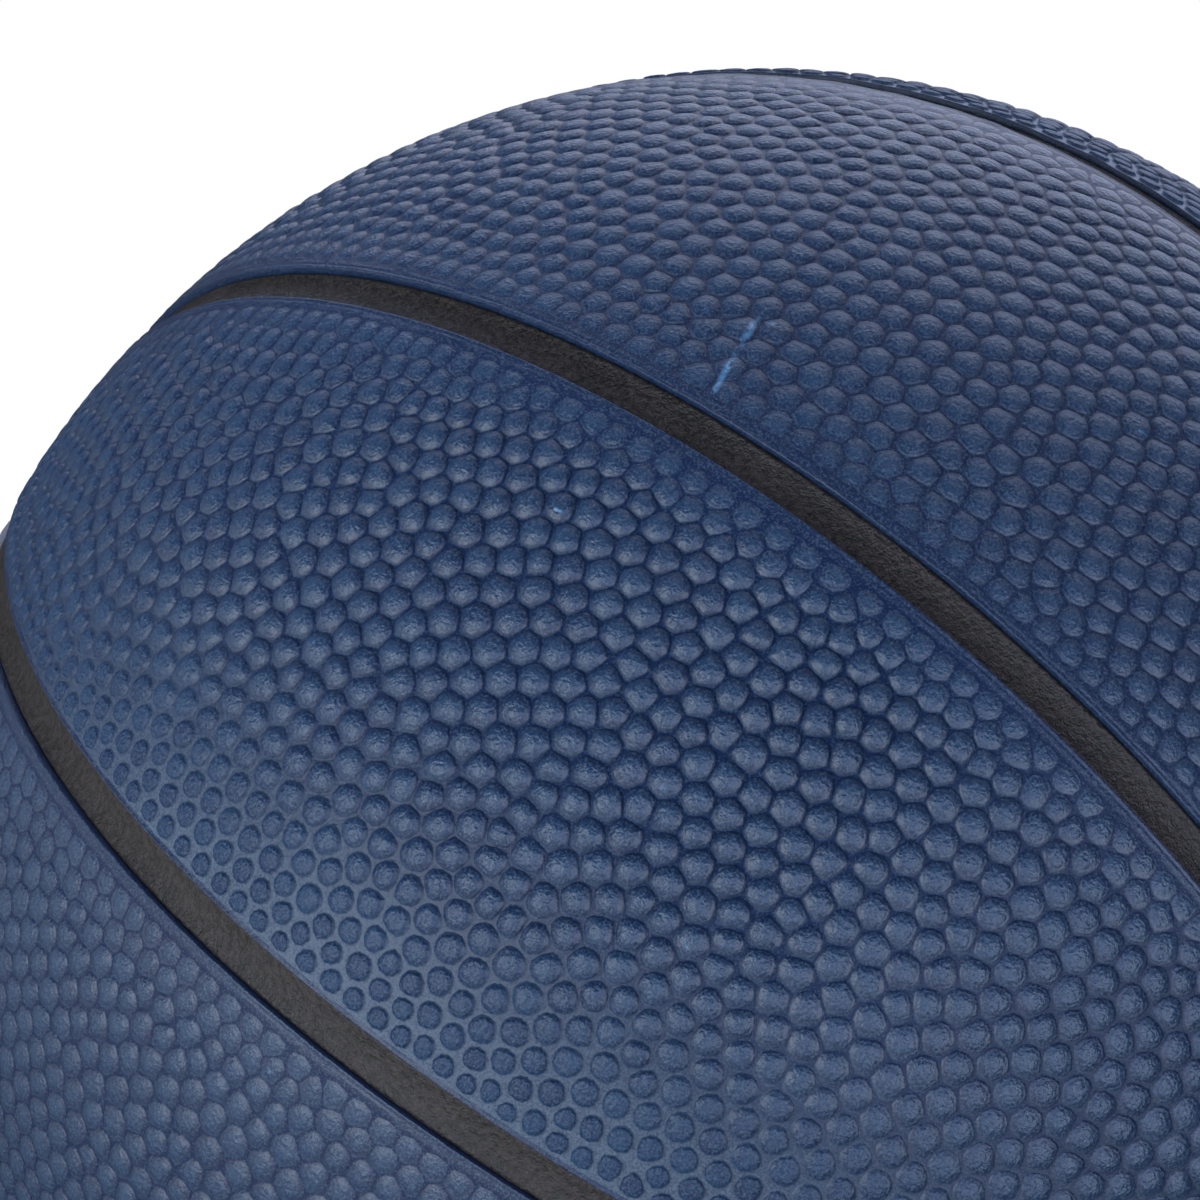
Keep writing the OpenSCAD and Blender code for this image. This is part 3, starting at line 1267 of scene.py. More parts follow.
    def shape_pebbles(self, cells: PebbleCells) -> PebbleShapes:
        """Draws the shapes of the pebbles in their cells.

        Args:
            cells: the cells.

        Returns:
            The shapes.
        """
        owner = cells.owner
        before = np.argsort(cells.after)
        rim_places = cells.points[cells.rim]
        side = np.linalg.norm(rim_places[cells.after] - rim_places, axis=1)
        weight = (side + side[before])[:, None]
        centres = unit(np.add.reduceat(rim_places * weight, cells.starts))
        away = rim_places - centres[owner]
        reach = np.linalg.norm(away, axis=1)
        least = np.minimum.reduceat(reach, cells.starts)[owner]
        wide = self.openness_at(centres)[owner]
        roundness = self.narrow_roundness + self.added_roundness * wide
        foot = reach * (1 - roundness) + least * roundness
        for _ in range(self.smoothing):
            foot = (foot[before] + 2 * foot + foot[cells.after]) / 4
        width = self.rng.uniform(*self.foot_scatter, len(centres))[owner]
        foot = np.minimum(np.minimum(foot, reach), self.widest_foot * least) * width
        tone = self.rng.random(len(centres))[owner]
        scatter = self.rng.uniform(*self.height_scatter, len(centres))[owner]
        fullness = np.clip(least * self.sizes.radius / self.full_cell, self.least_height, 1.0)
        inland = self.border_height + (1 - self.border_height) * self.inland_at(centres)[owner]
        return PebbleShapes(
            centres=centres,
            away=away,
            reach=reach,
            foot=foot - self.valley_width * wide * least,
            tone=tone,
            tallness=scatter * fullness ** self.small_power * inland,
            tilt=self.rng.normal(size=(len(centres), 3))[owner] * self.tilt_scatter,
        )

    def add_pebbles(self) -> tuple[PlacedPoints, np.ndarray]:
        """Adds the pebbled field.

        Returns:
            The points of the cells' rims, and the sides of the field's outline.
        """
        places = self.layout.settle()
        cells = PebbleCells.around(places, self.layout.mirrored(places), self.side_parts)
        top = self.sizes.radius
        rims = self.draft.add_points(
            self.in_frame(cells.points, top - self.depth_at(cells.points)),
            dust=self.dust_at(cells.points),
            satin=self.satin_at(cells.points),
        )
        shapes = self.shape_pebbles(cells)
        centres, owner = shapes.centres, cells.owner
        wide = self.openness_at(centres)[owner]
        valley_dust = self.dust_at(centres)[owner]
        most_satin = 1 - self.wide_matt * wide
        # Painted light: the downward-facing flanks take the pale colour, standing in for light from below;
        # the valleys take their dust.
        direction = shapes.away / shapes.reach[:, None]
        down = np.clip(-(direction @ self.axes)[:, 2], 0.0, 1.0)
        foot_dust_and_light = np.maximum(valley_dust, self.painted_underside_light * down)
        outer = rims[cells.rim]
        for ring in PEBBLE_RINGS:
            share = np.minimum(ring.share * shapes.foot / shapes.reach, ring.limit)
            spot = unit(centres[owner] + shapes.away * share[:, None])
            height = ring.dome_height + (ring.button_height - ring.dome_height) * wide
            lean = (shapes.tilt * shapes.away / shapes.reach[:, None]).sum(axis=1) * ring.share
            depth = self.depth_at(spot) * (1 - height * shapes.tallness * (1 + lean))
            inner = self.draft.add_points(
                self.in_frame(spot, top - depth),
                relief=height,
                tone=shapes.tone,
                dust=ring.dust * (foot_dust_and_light if ring.dust > 0 else valley_dust),
                satin=np.minimum(self.satin_at(spot) + self.climbing_satin * height, most_satin),
            )
            self.draft.add_faces(ring_quads(outer, inner, cells.after))
            outer = inner
        crown_depth = self.depth_at(centres) * (1 - shapes.tallness[cells.starts])
        crowns = self.draft.add_points(
            self.in_frame(centres, top - crown_depth),
            relief=1.0,
            tone=shapes.tone[cells.starts],
            dust=self.crown_dust * valley_dust[cells.starts],
            satin=most_satin[cells.starts],
        )
        self.draft.add_faces(np.stack([outer, outer[cells.after], crowns[owner]], axis=1))
        LOG.info("panel %d: %d pebbles", self.number, len(places))
        return PlacedPoints(rims, cells.points), cells.outline

    def edge_line(self, crisp_inset: float, shallow_inset: float, radius: float) -> np.ndarray:
        """Places along a line inside the panel's edge.

        Args:
            crisp_inset: distance from the crisp edge, at the given radius.
            shallow_inset: distance from the shallow edge and from the pole holes.
            radius: radius of the line's points.

        Returns:
            One place per point: up the high edge, over the pole, down the low edge and back.
        """
        insets = (crisp_inset if self.crisp_high else shallow_inset, shallow_inset)
        end = math.acos((self.sizes.pole_hole + shallow_inset) / radius)
        latitude = np.linspace(-end, end, self.long_steps + 1)
        away = radius * np.cos(latitude)
        high, low = (
            self.sizes.half_turn - np.arcsin((self.sizes.channel_half + inset) / away) for inset in insets
        )
        arc = np.linspace(high[-1], -low[-1], self.arc_steps + 1)[1:-1]
        latitudes = np.concatenate([
            latitude, np.full(len(arc), end), latitude[::-1], np.full(len(arc), -end)
        ])
        turns = np.concatenate([high, arc, -low[::-1], arc[::-1]])
        flat = np.cos(latitudes)
        return np.stack([flat * np.sin(turns), np.sin(latitudes), flat * np.cos(turns)], axis=1)

    def add_edge(self) -> tuple[PlacedPoints, np.ndarray]:
        """Adds the smooth border, its lip and the side walls.

        Returns:
            The points of the innermost line, and the point numbers of the bottom line.
        """
        ripple = Waves(self.rng, [self.ripple_lengths] * 3, self.ripple_count)
        lines = []
        for step in EDGE_STEPS:
            radius = self.sizes.radius - (step.crisp_drop + step.shallow_drop) / 2
            places = self.edge_line(step.crisp_inset, step.shallow_inset, radius)
            nearer = self.crisp_gap(places) - self.shallow_gap(places)
            shallow = rise(-self.tip_blend, self.tip_blend, nearer)
            lift = (step.crisp_drop - step.shallow_drop) * (shallow - 0.5)
            wobble = step.wobble * ripple.at(*(places.T * radius))
            numbers = self.draft.add_points(
                self.in_frame(places, radius + lift + wobble),
                relief=self.border_relief,
                tone=self.even_tone,
                satin=self.border_satin,
            )
            lines.append(PlacedPoints(numbers, places))
        inner_radius = self.sizes.inner_radius
        bottom_places = self.edge_line(0.0, 0.0, inner_radius)
        bottom = self.draft.add_points(self.in_frame(bottom_places, inner_radius), tone=self.even_tone)
        after = next_place(len(bottom))
        rings = [*(line.numbers for line in lines), bottom]
        for inner, outer in zip(rings, rings[1:]):
            self.draft.add_faces(ring_quads(outer, inner, after))
        return lines[0], bottom

    def add_border_fill(self, rims: PlacedPoints, outline: np.ndarray, line: PlacedPoints) -> None:
        """Joins the pebbled field to the smooth border.

        Args:
            rims: points of the cells' rims.
            outline: sides of the field's outline, as pairs of places in the rims.
            line: points of the border's innermost line.
        """
        used, sides = np.unique(outline, return_inverse=True)
        sides = sides.reshape(outline.shape)
        flat = np.concatenate([chart(rims.places[used]), chart(line.places)])
        ring = np.arange(len(line.numbers)) + len(used)
        ring_sides = np.stack([ring, np.roll(ring, -1)], axis=1)
        triangles = triangulate(flat, np.concatenate([sides, ring_sides]))
        centres = flat[triangles].mean(axis=1)
        in_field = enclosed(centres, flat[sides[:, 0]], flat[sides[:, 1]])
        in_border = enclosed(centres, flat[ring_sides[:, 0]], flat[ring_sides[:, 1]])
        numbers = np.concatenate([rims.numbers[used], line.numbers])
        self.draft.add_faces(numbers[triangles[in_border & ~in_field]])

    def add_back(self, bottom: np.ndarray) -> None:
        """Closes the panel's inner side.

        Args:
            bottom: point numbers of the bottom line.
        """
        rows = self.long_steps + 1
        arc = self.arc_steps - 1
        grid = np.zeros((rows, self.arc_steps + 1), int)
        grid[:, 0] = bottom[:rows]
        grid[:, -1] = bottom[rows + arc: 2 * rows + arc][::-1]
        grid[-1, 1:-1] = bottom[rows: rows + arc]
        grid[0, 1:-1] = bottom[2 * rows + arc:][::-1]
        places = self.edge_line(0.0, 0.0, self.sizes.inner_radius)
        side = np.arctan2(places[:rows, 0], places[:rows, 2])[1:-1]
        latitude = np.arcsin(places[:rows, 1])[1:-1, None]
        turns = side[:, None] * np.linspace(1.0, -1.0, self.arc_steps + 1)[1:-1]
        flat = np.cos(latitude)
        level = np.broadcast_to(np.sin(latitude), turns.shape)
        inside = np.stack([flat * np.sin(turns), level, flat * np.cos(turns)], axis=-1).reshape(-1, 3)
        numbers = self.draft.add_points(self.in_frame(inside, self.sizes.inner_radius), tone=self.even_tone)
        grid[1:-1, 1:-1] = numbers.reshape(rows - 2, arc)
        self.draft.add_faces(grid_quads(grid))

    def bake_places(self, mesh: bpy.types.Mesh) -> np.ndarray:
        """Lays the panel out flat: stretches of its outside, side by side, and its inner side beside them.

        Args:
            mesh: the panel's mesh.

        Returns:
            Place of each face corner on the texture map.
        """
        points = self.draft.all_points() @ self.axes.T
        radius = np.linalg.norm(points, axis=1)
        latitude = np.arcsin(points[:, 1] / radius)
        turn = np.arctan2(points[:, 0], points[:, 2])
        wall = np.clip(self.sizes.radius - self.wall_start - radius, 0.0, None)
        across = turn * np.cos(latitude) * self.sizes.radius + np.sign(turn) * wall
        corners, faces = corner_numbers(mesh)
        widest = self.sizes.radius * self.sizes.half_turn + self.map_margin
        over = across[corners] / (2 * widest)
        share = (latitude / math.pi + 0.5)[corners]
        stretches, gutter = self.map_stretches, self.map_gutter
        column_width = self.map_width + gutter
        stretch = np.clip(np.floor(face_means(share, faces) * stretches), 0, stretches - 1)
        along = np.stack([with_overlap(share * stretches - stretch), share])
        along = gutter + (1 - 2 * gutter) * along
        outside = np.stack([(stretch + 0.5) * column_width + self.map_width * over, along[0]], axis=1)
        inner_start = stretches * column_width
        inner_width = 1 - inner_start - gutter
        inside = np.stack([inner_start + inner_width * (over + 0.5), along[1]], axis=1)
        deep = (radius < self.sizes.inner_radius + self.skin_depth)[corners]
        inner_side = face_means(deep, faces) > WHOLE_FACE
        return np.where(inner_side[:, None], inside, outside)

    def build(self) -> None:
        """Makes the panel."""
        rims, outline = self.add_pebbles()
        line, bottom = self.add_edge()
        self.add_border_fill(rims, outline, line)
        self.add_back(bottom)
        piece = self.draft.build(f"pebbled_panel_{self.number}", self.material)
        set_bake_map(piece, self.bake_places(piece.data))
        dress(piece, f"cover_panel_{self.number}")


# Channels

@dataclass
class ChannelStrip:
    """One black strip along a channel, dished and finely wrinkled."""

    sizes: BallSizes
    number: int
    material: bpy.types.Material
    columns: int = 24
    rows: int = 320
    edge_crowding: float = 0.4
    first_seed: int = 100
    wrinkle: float = 0.007 * MM
    crumple: float = 0.05 * MM
    groove_start: float = 2.5 * MM
    groove_depth: float = 0.3 * MM
    fold_lengths: tuple[Span, Span] = ((0.5 * MM, 1.6 * MM), (14 * MM, 60 * MM))
    fold_count: int = 18
    crease_lengths: tuple[Span, Span] = ((2 * MM, 5 * MM), (1.6 * MM, 4.5 * MM))
    crease_count: int = 24
    patch_lengths: tuple[Span, Span] = ((30 * MM, 60 * MM), (25 * MM, 90 * MM))
    patch_count: int = 8
    patch_span: Span = (-0.6, 0.6)
    least_folds: float = 0.3
    edge_power: int = 8
    map_rows: int = 16
    map_gutter: float = 0.1
    map_margin: float = 0.01
    under_depth: float = 0.4 * MM

    def wrinkles(self, across: np.ndarray, length: np.ndarray) -> np.ndarray:
        """Draws the fine folds and creases of the strip's top.

        Args:
            across: distance of each point from the strip's middle line.
            length: distance of each point along the strip from the ball's belt.

        Returns:
            How far each point is lifted.
        """
        rng = np.random.default_rng(self.first_seed + self.number)
        lengthwise = Waves(rng, self.fold_lengths, self.fold_count).at(across, length)
        crosswise = Waves(rng, self.crease_lengths, self.crease_count).at(across, length)
        patches = Waves(rng, self.patch_lengths, self.patch_count).at(across, length)
        folded = rise(*self.patch_span, patches)
        folds = lengthwise * folded + self.least_folds * lengthwise
        creases = np.abs(crosswise) * (1 - folded)
        inside = 1 - (np.abs(across) / self.sizes.strip_half) ** self.edge_power
        return (self.wrinkle * folds - self.crumple * creases) * inside

    def build(self) -> None:
        """Makes the strip."""
        sizes = self.sizes
        axes = sizes.axes(2 * (self.number - 1) * sizes.half_turn)
        even = np.linspace(-1.0, 1.0, self.columns + 1)
        across = sizes.strip_half * ((1 + self.edge_crowding) * even - self.edge_crowding * even ** 3)
        dish = sizes.strip_edge_radius - sizes.floor_radius
        level = sizes.floor_radius + dish * (across / sizes.strip_half) ** 2
        level = level - self.groove_depth * rise(self.groove_start, sizes.strip_half, np.abs(across))
        share = np.linspace(-1.0, 1.0, self.rows + 1)[:, None]
        draft = MeshDraft()
        grids = []
        for radial in (level, np.full_like(level, sizes.inner_radius)):
            latitude = share * np.arccos(np.sqrt(sizes.pole_hole ** 2 - across ** 2) / radial)
            wide = np.broadcast_to(across, latitude.shape)
            reach = np.broadcast_to(radial, latitude.shape)
            if radial is level:
                reach = reach + self.wrinkles(wide, latitude * sizes.radius)
            points = np.stack([wide, reach * np.sin(latitude), reach * np.cos(latitude)], axis=-1)
            grids.append(draft.add_points(points.reshape(-1, 3) @ axes).reshape(latitude.shape))
        top, bottom = grids
        draft.add_faces(grid_quads(top))
        draft.add_faces(grid_quads(bottom[:, ::-1]))
        loops = [np.concatenate([g[0], g[1:-1, -1], g[-1, ::-1], g[-2:0:-1, 0]]) for g in grids]
        draft.add_faces(ring_quads(loops[1], loops[0], next_place(len(loops[0]))))
        piece = draft.build(f"dished_strip_{self.number}", self.material)
        set_bake_map(piece, self.bake_places(piece.data, draft.all_points() @ axes.T))
        dress(piece, f"channel_strip_{self.number}")

    def bake_places(self, mesh: bpy.types.Mesh, points: np.ndarray) -> np.ndarray:
        """Lays the strip out flat in rows, with the underside in the last one.

        Args:
            mesh: the strip's mesh.
            points: its points, in the strip's own axes.

        Returns:
            Place of each face corner on the texture map.
        """
        top_rows = self.map_rows - 1
        corners, faces = corner_numbers(mesh)
        share = (np.arctan2(points[:, 1], points[:, 2]) / math.pi + 0.5)[corners]
        depth = np.clip(self.sizes.floor_radius - np.hypot(points[:, 1], points[:, 2]), 0.0, None)
        across = (points[:, 0] + np.sign(points[:, 0]) * depth)[corners]
        widest = 2 * (self.sizes.strip_half + self.sizes.floor_radius - self.sizes.inner_radius)
        under = face_means((depth > self.under_depth)[corners], faces) > WHOLE_FACE
        row = np.clip(np.floor(face_means(share, faces) * top_rows), 0, top_rows - 1)
        along = np.where(under, share, with_overlap(share * top_rows - row))
        row = np.where(under, top_rows, row)
        over = row + self.map_gutter + (1 - 2 * self.map_gutter) * (across / widest + 0.5)
        return np.stack([self.map_margin + (1 - 2 * self.map_margin) * along, over / self.map_rows], axis=1)


# Turned pieces

# A rounding takes up at most this share of a side, and has points at these shares of its length.
ROUND_MOST = 0.4
ROUND_SHARES = (0.0, 0.33, 0.67, 1.0)
# One more point on each side, this far past the rounding, keeps the rest of the side flat.
ROUND_GUARD = 0.6


def rounded(profile: Profile, radius: float) -> Profile:
    """Rounds the corners of an open profile.

    Args:
        profile: points along the pole axis and away from it.
        radius: how far from a corner the rounding starts.

    Returns:
        The profile with six points for each inner corner.
    """
    points = [np.array(point) for point in profile]
    made = [points[0]]
    for before, corner, after in zip(points, points[1:], points[2:]):
        start, end = (
            corner + (side / np.linalg.norm(side)) * min(radius, ROUND_MOST * np.linalg.norm(side))
            for side in (before - corner, after - corner)
        )
        made.append(start * (1 + ROUND_GUARD) - corner * ROUND_GUARD)
        for share in ROUND_SHARES:
            left = 1 - share
            made.append(start * left ** 2 + corner * 2 * share * left + end * share ** 2)
        made.append(end * (1 + ROUND_GUARD) - corner * ROUND_GUARD)
    made.append(points[-1])
    return [(float(point[0]), float(point[1])) for point in made]


def turn_profile(draft: MeshDraft, profile: Profile, segments: int, closed: bool) -> None:
    """Turns a profile around the pole axis.

    Args:
        draft: where the points and faces go.
        profile: points along the pole axis and away from it, up the outside and down the inside.
        segments: number of steps around the axis.
        closed: whether the last point joins the first one.
    """
    angle = np.arange(segments) * FULL_TURN / segments
    after = next_place(segments)
    rings = []
    for along, away in profile:
        ring = np.stack([np.full(segments, along), away * np.cos(angle), away * np.sin(angle)], axis=1)
        rings.append(draft.add_points(ring[:1] if away == 0.0 else ring))
    pairs = list(zip(rings, rings[1:])) + ([(rings[-1], rings[0])] if closed else [])
    for first, second in pairs:
        if len(first) == 1:
            draft.add_faces(np.stack([np.repeat(first, segments), second[after], second], axis=1))
        elif len(second) == 1:
            draft.add_faces(np.stack([first, first[after], np.repeat(second, segments)], axis=1))
        else:
            draft.add_faces(ring_quads(first, second, after))


class Pole(Enum):
    """The two ends of the pole axis, by the sign of their place along it."""

    VALVE = 1
    PLAIN = -1

    @property
    def node(self) -> str:
        """Name of the disc's CAD node."""
        return f"{self.name.lower()}_pole_disc"


@dataclass
class PoleDisc:
    """Black disc that closes the place where the channels meet."""

    sizes: BallSizes
    pole: Pole
    material: bpy.types.Material
    segments: int = 96
    rim_round: float = 0.25 * MM
    rim_shares: Triple = (0.3, 0.6, 1.0)
    bead_height: float = 0.22 * MM
    bead_width: float = 0.7 * MM
    ring_place: float = 0.84
    ring_depth: float = 0.14 * MM
    ring_width: float = 0.35 * MM
    top_rows: int = 30

    def height(self, away: float) -> float:
        """Tells how high the disc's top is.

        Args:
            away: distance from the pole axis.

        Returns:
            Place of the top along the axis.
        """
        sizes = self.sizes
        level = math.sqrt(sizes.floor_radius ** 2 - away ** 2)
        bead_place = sizes.barrel_hole + self.bead_width if self.pole is Pole.VALVE else 0.0
        bead = math.exp(-((away - bead_place) / (0.5 * self.bead_width)) ** 2)
        ring = math.exp(-((away - self.ring_place * sizes.pole_disc) / (0.5 * self.ring_width)) ** 2)
        edge = max(0.0, 1 - (sizes.pole_disc - away) / self.rim_round)
        return level + self.bead_height * bead - self.ring_depth * ring - self.rim_round * edge ** 2

    def build(self) -> None:
        """Makes the disc."""
        sizes = self.sizes
        hole = sizes.barrel_hole if self.pole is Pole.VALVE else 0.0
        rows = np.linspace(sizes.pole_disc, hole, self.top_rows + 1)
        rows = np.insert(rows, 1, sizes.pole_disc - self.rim_round * np.array(self.rim_shares))
        edges = (hole, sizes.pole_disc)
        bottom = [(math.sqrt(sizes.inner_radius ** 2 - away ** 2), away) for away in edges]
        top = [(self.height(away), float(away)) for away in rows]
        profile = [*bottom, *top]
        if self.pole is Pole.PLAIN:
            profile = [(-along, away) for along, away in reversed(profile)]
        draft = MeshDraft()
        turn_profile(draft, profile, self.segments, closed=self.pole is Pole.VALVE)
        piece = draft.build(f"moulded_{self.pole.node}", self.material)
        dress(piece, self.pole.node)


@dataclass
class Valve:
    """Rubber housing in the bladder and the insert that pulls out of it."""

    sizes: BallSizes
    housing_material: bpy.types.Material
    insert_material: bpy.types.Material
    segments: int = 72
    flange_thickness: float = 0.9 * MM
    flange_depth: float = 3.9 * MM
    barrel: float = 5.0 * MM
    seat_depth: float = 3.05 * MM
    head_bore: float = 3.55 * MM
    shank_bore: float = 2.55 * MM
    head: float = 3.5 * MM
    shank: float = 2.5 * MM
    head_depth: float = 3.0 * MM
    needle_bore: float = 1.0 * MM
    needle_depth: float = 13.0 * MM
    mouth: float = 1.6 * MM
    mouth_depth: float = 0.8 * MM
    edge_round: float = 0.22 * MM

    def build_housing(self) -> None:
        """Makes the flanged barrel."""
        low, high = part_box("valve_housing")
        flange_top = self.sizes.floor_radius - self.flange_depth
        head_seat = self.sizes.floor_radius - self.seat_depth
        edges = (self.barrel, high.z)
        under, over = (
            [(math.sqrt(radius ** 2 - away ** 2), away) for away in edges]
            for radius in (flange_top - self.flange_thickness, flange_top)
        )
        outside = [(low.x, self.barrel), *under, *over[::-1], (high.x, self.barrel)]
        inside = [
            (high.x, self.head_bore), (head_seat, self.head_bore),
            (head_seat, self.shank_bore), (low.x, self.shank_bore),
        ]
        draft = MeshDraft()
        turn_profile(draft, rounded([*outside, *inside], self.edge_round), self.segments, closed=True)
        piece = draft.build("moulded_valve_housing", self.housing_material)
        dress(piece, "valve_housing")

    def build_insert(self) -> None:
        """Makes the plug with its needle bore."""
        low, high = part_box("valve_insert")
        head_base = high.x - self.head_depth
        needle_end = high.x - self.needle_depth
        profile = [
            (low.x, 0.0), (low.x, self.shank), (head_base, self.shank), (head_base, self.head),
            (high.x, self.head), (high.x, self.mouth), (high.x - self.mouth_depth, self.needle_bore),
            (needle_end, self.needle_bore), (needle_end, 0.0),
        ]
        draft = MeshDraft()
        turn_profile(draft, rounded(profile, self.edge_round), self.segments, closed=False)
        piece = draft.build("moulded_valve_insert", self.insert_material)
        dress(piece, "valve_insert", INSERT_BODY)

    def build(self) -> None:
        """Makes both pieces."""
        self.build_housing()
        self.build_insert()


@dataclass
class InnerLayers:
    """The layers under the cover: the CAD nodes stay and get their finishes."""

    finishes: dict[str, bpy.types.Material]

    def build(self) -> None:
        """Gives each layer its finish."""
        for name, material in self.finishes.items():
            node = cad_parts[name]
            for slot in node.material_slots:
                slot.link = "OBJECT"
                slot.material = material
            LOG.info("%s: %s", name, material.name)


# Studio

@dataclass(frozen=True)
class Glow:
    """A brighter part of the surroundings.

    start and full are the cosines, from its direction, of where it starts and where it is full.
    """

    direction: Triple
    start: float
    full: float
    strength: float

    def light(self, bench: Bench, facing: bpy.types.NodeSocket) -> Signal:
        """How bright it makes a direction."""
        near = bench.measure("DOT_PRODUCT", facing, self.direction)
        return near.rise(self.start, self.full) * self.strength


GLOSSY_GLOWS = (
    Glow((0.66, -0.70, 0.27), 0.6, 1.0, 2.1),
    Glow((-0.42, 0.80, 0.43), 0.78, 0.97, 1.6),
)
DIFFUSE_GLOWS = (
    Glow((-0.40, 0.72, 0.57), 0.5, 1.0, 7.0),
)


@dataclass(frozen=True)
class Lamp:
    """A soft square lamp that faces the ball.

    direction is where it stands, seen from the ball, and radiance is the brightness of its face, where
    white paper in plain light is 1.
    """

    name: str
    direction: Triple
    distance: float
    side: float
    radiance: float
    colour: Triple = (0.89, 1.0, 1.14)

    def build(self) -> None:
        """Makes the lamp, hidden from the camera."""
        data = bpy.data.lights.new(self.name, "AREA")
        data.shape = "SQUARE"
        data.size = self.side
        data.energy = self.radiance * math.pi * self.side ** 2
        data.color = self.colour
        lamp = bpy.data.objects.new(self.name, data)
        towards = Vector(self.direction).normalized()
        turn = towards.to_track_quat("Z", "Y").to_matrix().to_4x4()
        lamp.matrix_world = Matrix.Translation(towards * self.distance) @ turn
        lamp.visible_camera = False
        bpy.context.scene.collection.objects.link(lamp)


LAMPS = (
    Lamp("left_lamp", (-0.34, -0.94, 0.03), 0.7, 0.4, 6.2),
    Lamp("right_lamp", (0.85, -0.35, 0.36), 1.1, 0.5, 3.8),
)


def seen_and_glossy(bench: Bench) -> tuple[Signal, Signal]:
    """Tells what kind of ray meets a surface.

    Args:
        bench: where the nodes go.

    Returns:
        1 for rays that the camera sees straight, and 1 for rays that a shine sends out.
    """
    path = bench.node("ShaderNodeLightPath")
    seen = bench.signal(path, "Is Camera Ray").top(bench.signal(path, "Is Transmission Ray"))
    return seen, bench.signal(path, "Is Glossy Ray")


@dataclass
class Floor:
    """Pale floor, white to the camera away from the ball's shadow.

    A name that ends in span says at which distance from the ball's centre a smooth step starts and ends,
    for left_span along left_way.
    """

    sizes: BallSizes
    half_side: float = 30.0
    paper: Colour = (0.90, 0.82, 0.67, 1.0)
    white_span: Span = (0.18, 0.34)
    lit_span: Span = (0.1, 0.3)
    lit_level: float = 1.5
    shine_level: float = 0.05
    left_way: Triple = (-0.35, -0.94, 0.0)
    left_span: Span = (0.04, 0.25)
    left_end_span: Span = (0.7, 1.5)
    left_level: float = 0.8

    def material(self) -> bpy.types.Material:
        """Makes the floor's finish.

        Returns:
            The material: paper near the ball, and light of its own elsewhere.
        """
        bench, material = Bench.for_material("pale_floor")
        seen, glossy = seen_and_glossy(bench)
        away = bench.measure("LENGTH", bench.place)
        left = bench.measure("DOT_PRODUCT", bench.place, self.left_way).rise(*self.left_span)
        shine = self.shine_level + left * (1 - away.rise(*self.left_end_span)) * self.left_level
        lit = glossy * shine + (1 - glossy) * away.rise(*self.lit_span) * self.lit_level
        paper = bench.node("ShaderNodeBsdfDiffuse", None, {"Color": self.paper})
        light = bench.node("ShaderNodeEmission", None, {"Color": WHITE, "Strength": seen + (1 - seen) * lit})
        share = (seen * away.rise(*self.white_span)).top(1 - seen)
        bench.surface(bench.blend(share, paper.outputs[0], light.outputs[0]))
        material.cycles.emission_sampling = "NONE"
        return material

    def build(self) -> None:
        """Lays the floor."""
        draft = MeshDraft()
        signs = ((-1, -1), (1, -1), (1, 1), (-1, 1))
        corners = [(self.half_side * x, self.half_side * y, -self.sizes.radius) for x, y in signs]
        draft.add_faces(draft.add_points(np.array(corners))[None])
        draft.build("floor", self.material())


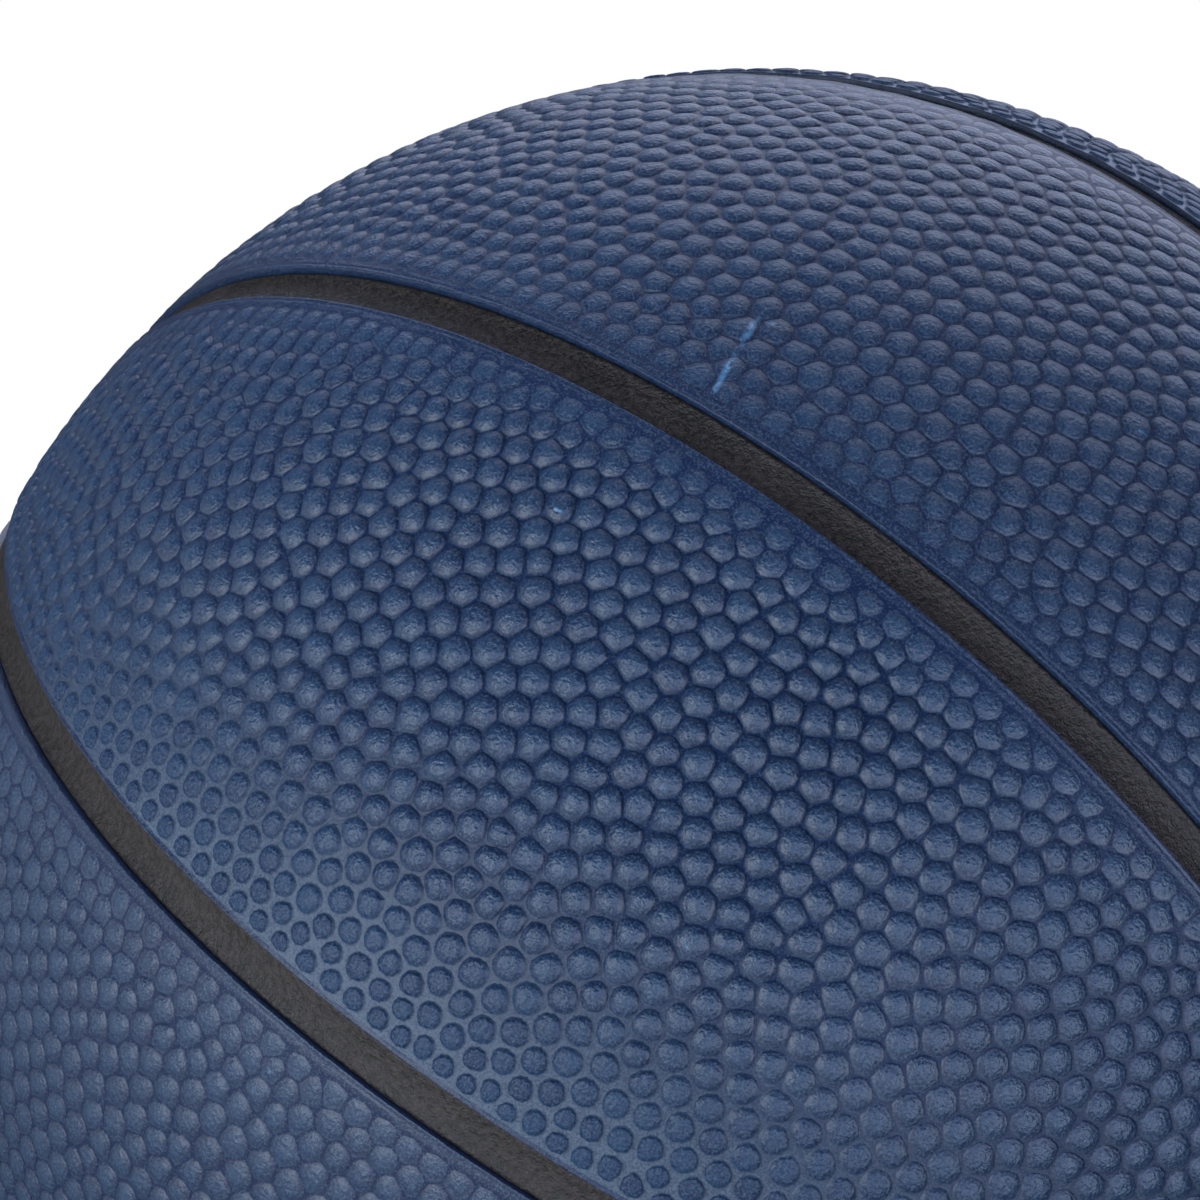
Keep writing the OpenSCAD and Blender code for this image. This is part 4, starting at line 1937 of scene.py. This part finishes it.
@dataclass
class Studio:
    """Camera, lamps, floor and surroundings."""

    sizes: BallSizes
    picture_side: float = 1200.0
    ball_pixel: tuple[float, float] = (761.8, 926.7)
    focal_pixels: float = 9024.0
    distance_in_radii: float = 10.53
    view_right: Triple = (0.7869, 0.3976, 0.472)
    view_up: Triple = (-0.5666, 0.1623, 0.808)
    sensor: float = 36.0
    clip_end: float = 100.0
    sky_colour: Colour = (0.86, 0.93, 1.2, 1.0)
    glossy_level: float = 0.02
    diffuse_level: float = 0.05

    @property
    def back(self) -> Vector:
        """Direction from the ball to the camera."""
        return Vector(self.view_right).cross(Vector(self.view_up)).normalized()

    @property
    def eye(self) -> Vector:
        """Where the camera stands."""
        return self.back * self.distance_in_radii * self.sizes.radius

    def ray(self, pixel: tuple[float, float]) -> Vector:
        """Direction in which the camera sees a pixel of the photo, in the camera's axes."""
        middle = self.picture_side / 2
        return Vector((pixel[0] - middle, middle - pixel[1], -self.focal_pixels))

    def camera_turn(self) -> Matrix:
        """Turns the camera so that the ball is off the middle of the picture.

        Returns:
            The camera's axes, as columns.
        """
        right = Vector(self.view_right).normalized()
        facing = Matrix([right, self.back.cross(right), self.back]).transposed()
        swing = self.ray(self.ball_pixel).rotation_difference(Vector((0.0, 0.0, -1.0))).to_matrix()
        return facing @ swing

    def on_ball(self, pixel: tuple[float, float]) -> Vector:
        """Finds the point of the ball that a pixel of the photo shows.

        Args:
            pixel: its place, from the photo's left and top.

        Returns:
            The point, in the shared frame.
        """
        towards = (self.camera_turn() @ self.ray(pixel)).normalized()
        along = -self.eye.dot(towards)
        half_chord = math.sqrt(self.sizes.radius ** 2 - (self.eye.length_squared - along ** 2))
        return self.eye + towards * (along - half_chord)

    def place_camera(self) -> None:
        """Makes the camera."""
        data = bpy.data.cameras.new("photo_camera")
        data.sensor_width = self.sensor
        data.lens = self.focal_pixels / self.picture_side * self.sensor
        data.clip_end = self.clip_end
        camera = bpy.data.objects.new("photo_camera", data)
        camera.matrix_world = Matrix.Translation(self.eye) @ self.camera_turn().to_4x4()
        bpy.context.scene.collection.objects.link(camera)
        bpy.context.scene.camera = camera

    def surround(self) -> None:
        """Sets the surroundings: white behind the ball, dimmer all around."""
        world = bpy.data.worlds.new("studio")
        world.use_nodes = True
        world.cycles.sampling_method = "NONE"
        bpy.context.scene.world = world
        bench = Bench(world.node_tree)
        seen, glossy = seen_and_glossy(bench)
        facing = bench.node("ShaderNodeTexCoord").outputs["Generated"]
        shine = sum((glow.light(bench, facing) for glow in GLOSSY_GLOWS), self.glossy_level)
        soft = sum((glow.light(bench, facing) for glow in DIFFUSE_GLOWS), self.diffuse_level)
        strength = seen + (1 - seen) * (glossy * shine + (1 - glossy) * soft)
        colour = bench.mix(seen, self.sky_colour, WHITE)
        shader = bench.node("ShaderNodeBackground", None, {"Color": colour, "Strength": strength})
        bench.node("ShaderNodeOutputWorld", None, {"Surface": shader.outputs[0]})

    def build(self) -> None:
        """Sets up the studio."""
        bpy.context.scene.view_settings.view_transform = "Standard"
        self.place_camera()
        for lamp in LAMPS:
            lamp.build()
        Floor(self.sizes).build()
        self.surround()
        LOG.info("studio: camera, lamps, floor and surroundings")


@dataclass(frozen=True)
class PhotoMark:
    """A rubbed mark between two pixels of the photo."""

    start: tuple[float, float]
    end: tuple[float, float]
    half_width: float


PHOTO_MARKS = (
    PhotoMark((758.0, 316.0), (740.0, 345.0), 0.8 * MM),
    PhotoMark((740.0, 345.0), (714.0, 390.0), 0.7 * MM),
    PhotoMark((758.0, 318.0), (774.0, 323.0), 0.5 * MM),
    PhotoMark((1140.0, 430.0), (1150.0, 436.0), 0.4 * MM),
    PhotoMark((555.0, 509.0), (567.0, 513.0), 0.4 * MM),
    PhotoMark((246.0, 472.0), (255.0, 479.0), 0.4 * MM),
)


def main() -> None:
    """Builds the basketball and its studio, and logs each piece."""
    logging.basicConfig(level=logging.INFO, format="%(name)s: %(message)s")
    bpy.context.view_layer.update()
    sizes = BallSizes.from_frame()
    studio = Studio(sizes)
    studio.build()
    marks = [
        Mark(studio.on_ball(mark.start), studio.on_ball(mark.end), mark.half_width) for mark in PHOTO_MARKS
    ]
    cover = CoverRubber().material(marks)
    channel = CHANNEL_RUBBER.material()
    for number in range(1, sizes.panel_count + 1):
        CoverPanel(sizes, number, cover).build()
        ChannelStrip(sizes, number, channel).build()
    for pole in Pole:
        PoleDisc(sizes, pole, channel).build()
    Valve(sizes, VALVE_RUBBER.material(), INSERT_RUBBER.material()).build()
    bladder = BLADDER_RUBBER.material()
    InnerLayers({
        "bladder": bladder,
        "valve_patch": bladder,
        "thread_winding": WoundThread().material(),
        "carcass": CARCASS_RUBBER.material(),
    }).build()


if __name__ == "__main__":
    main()
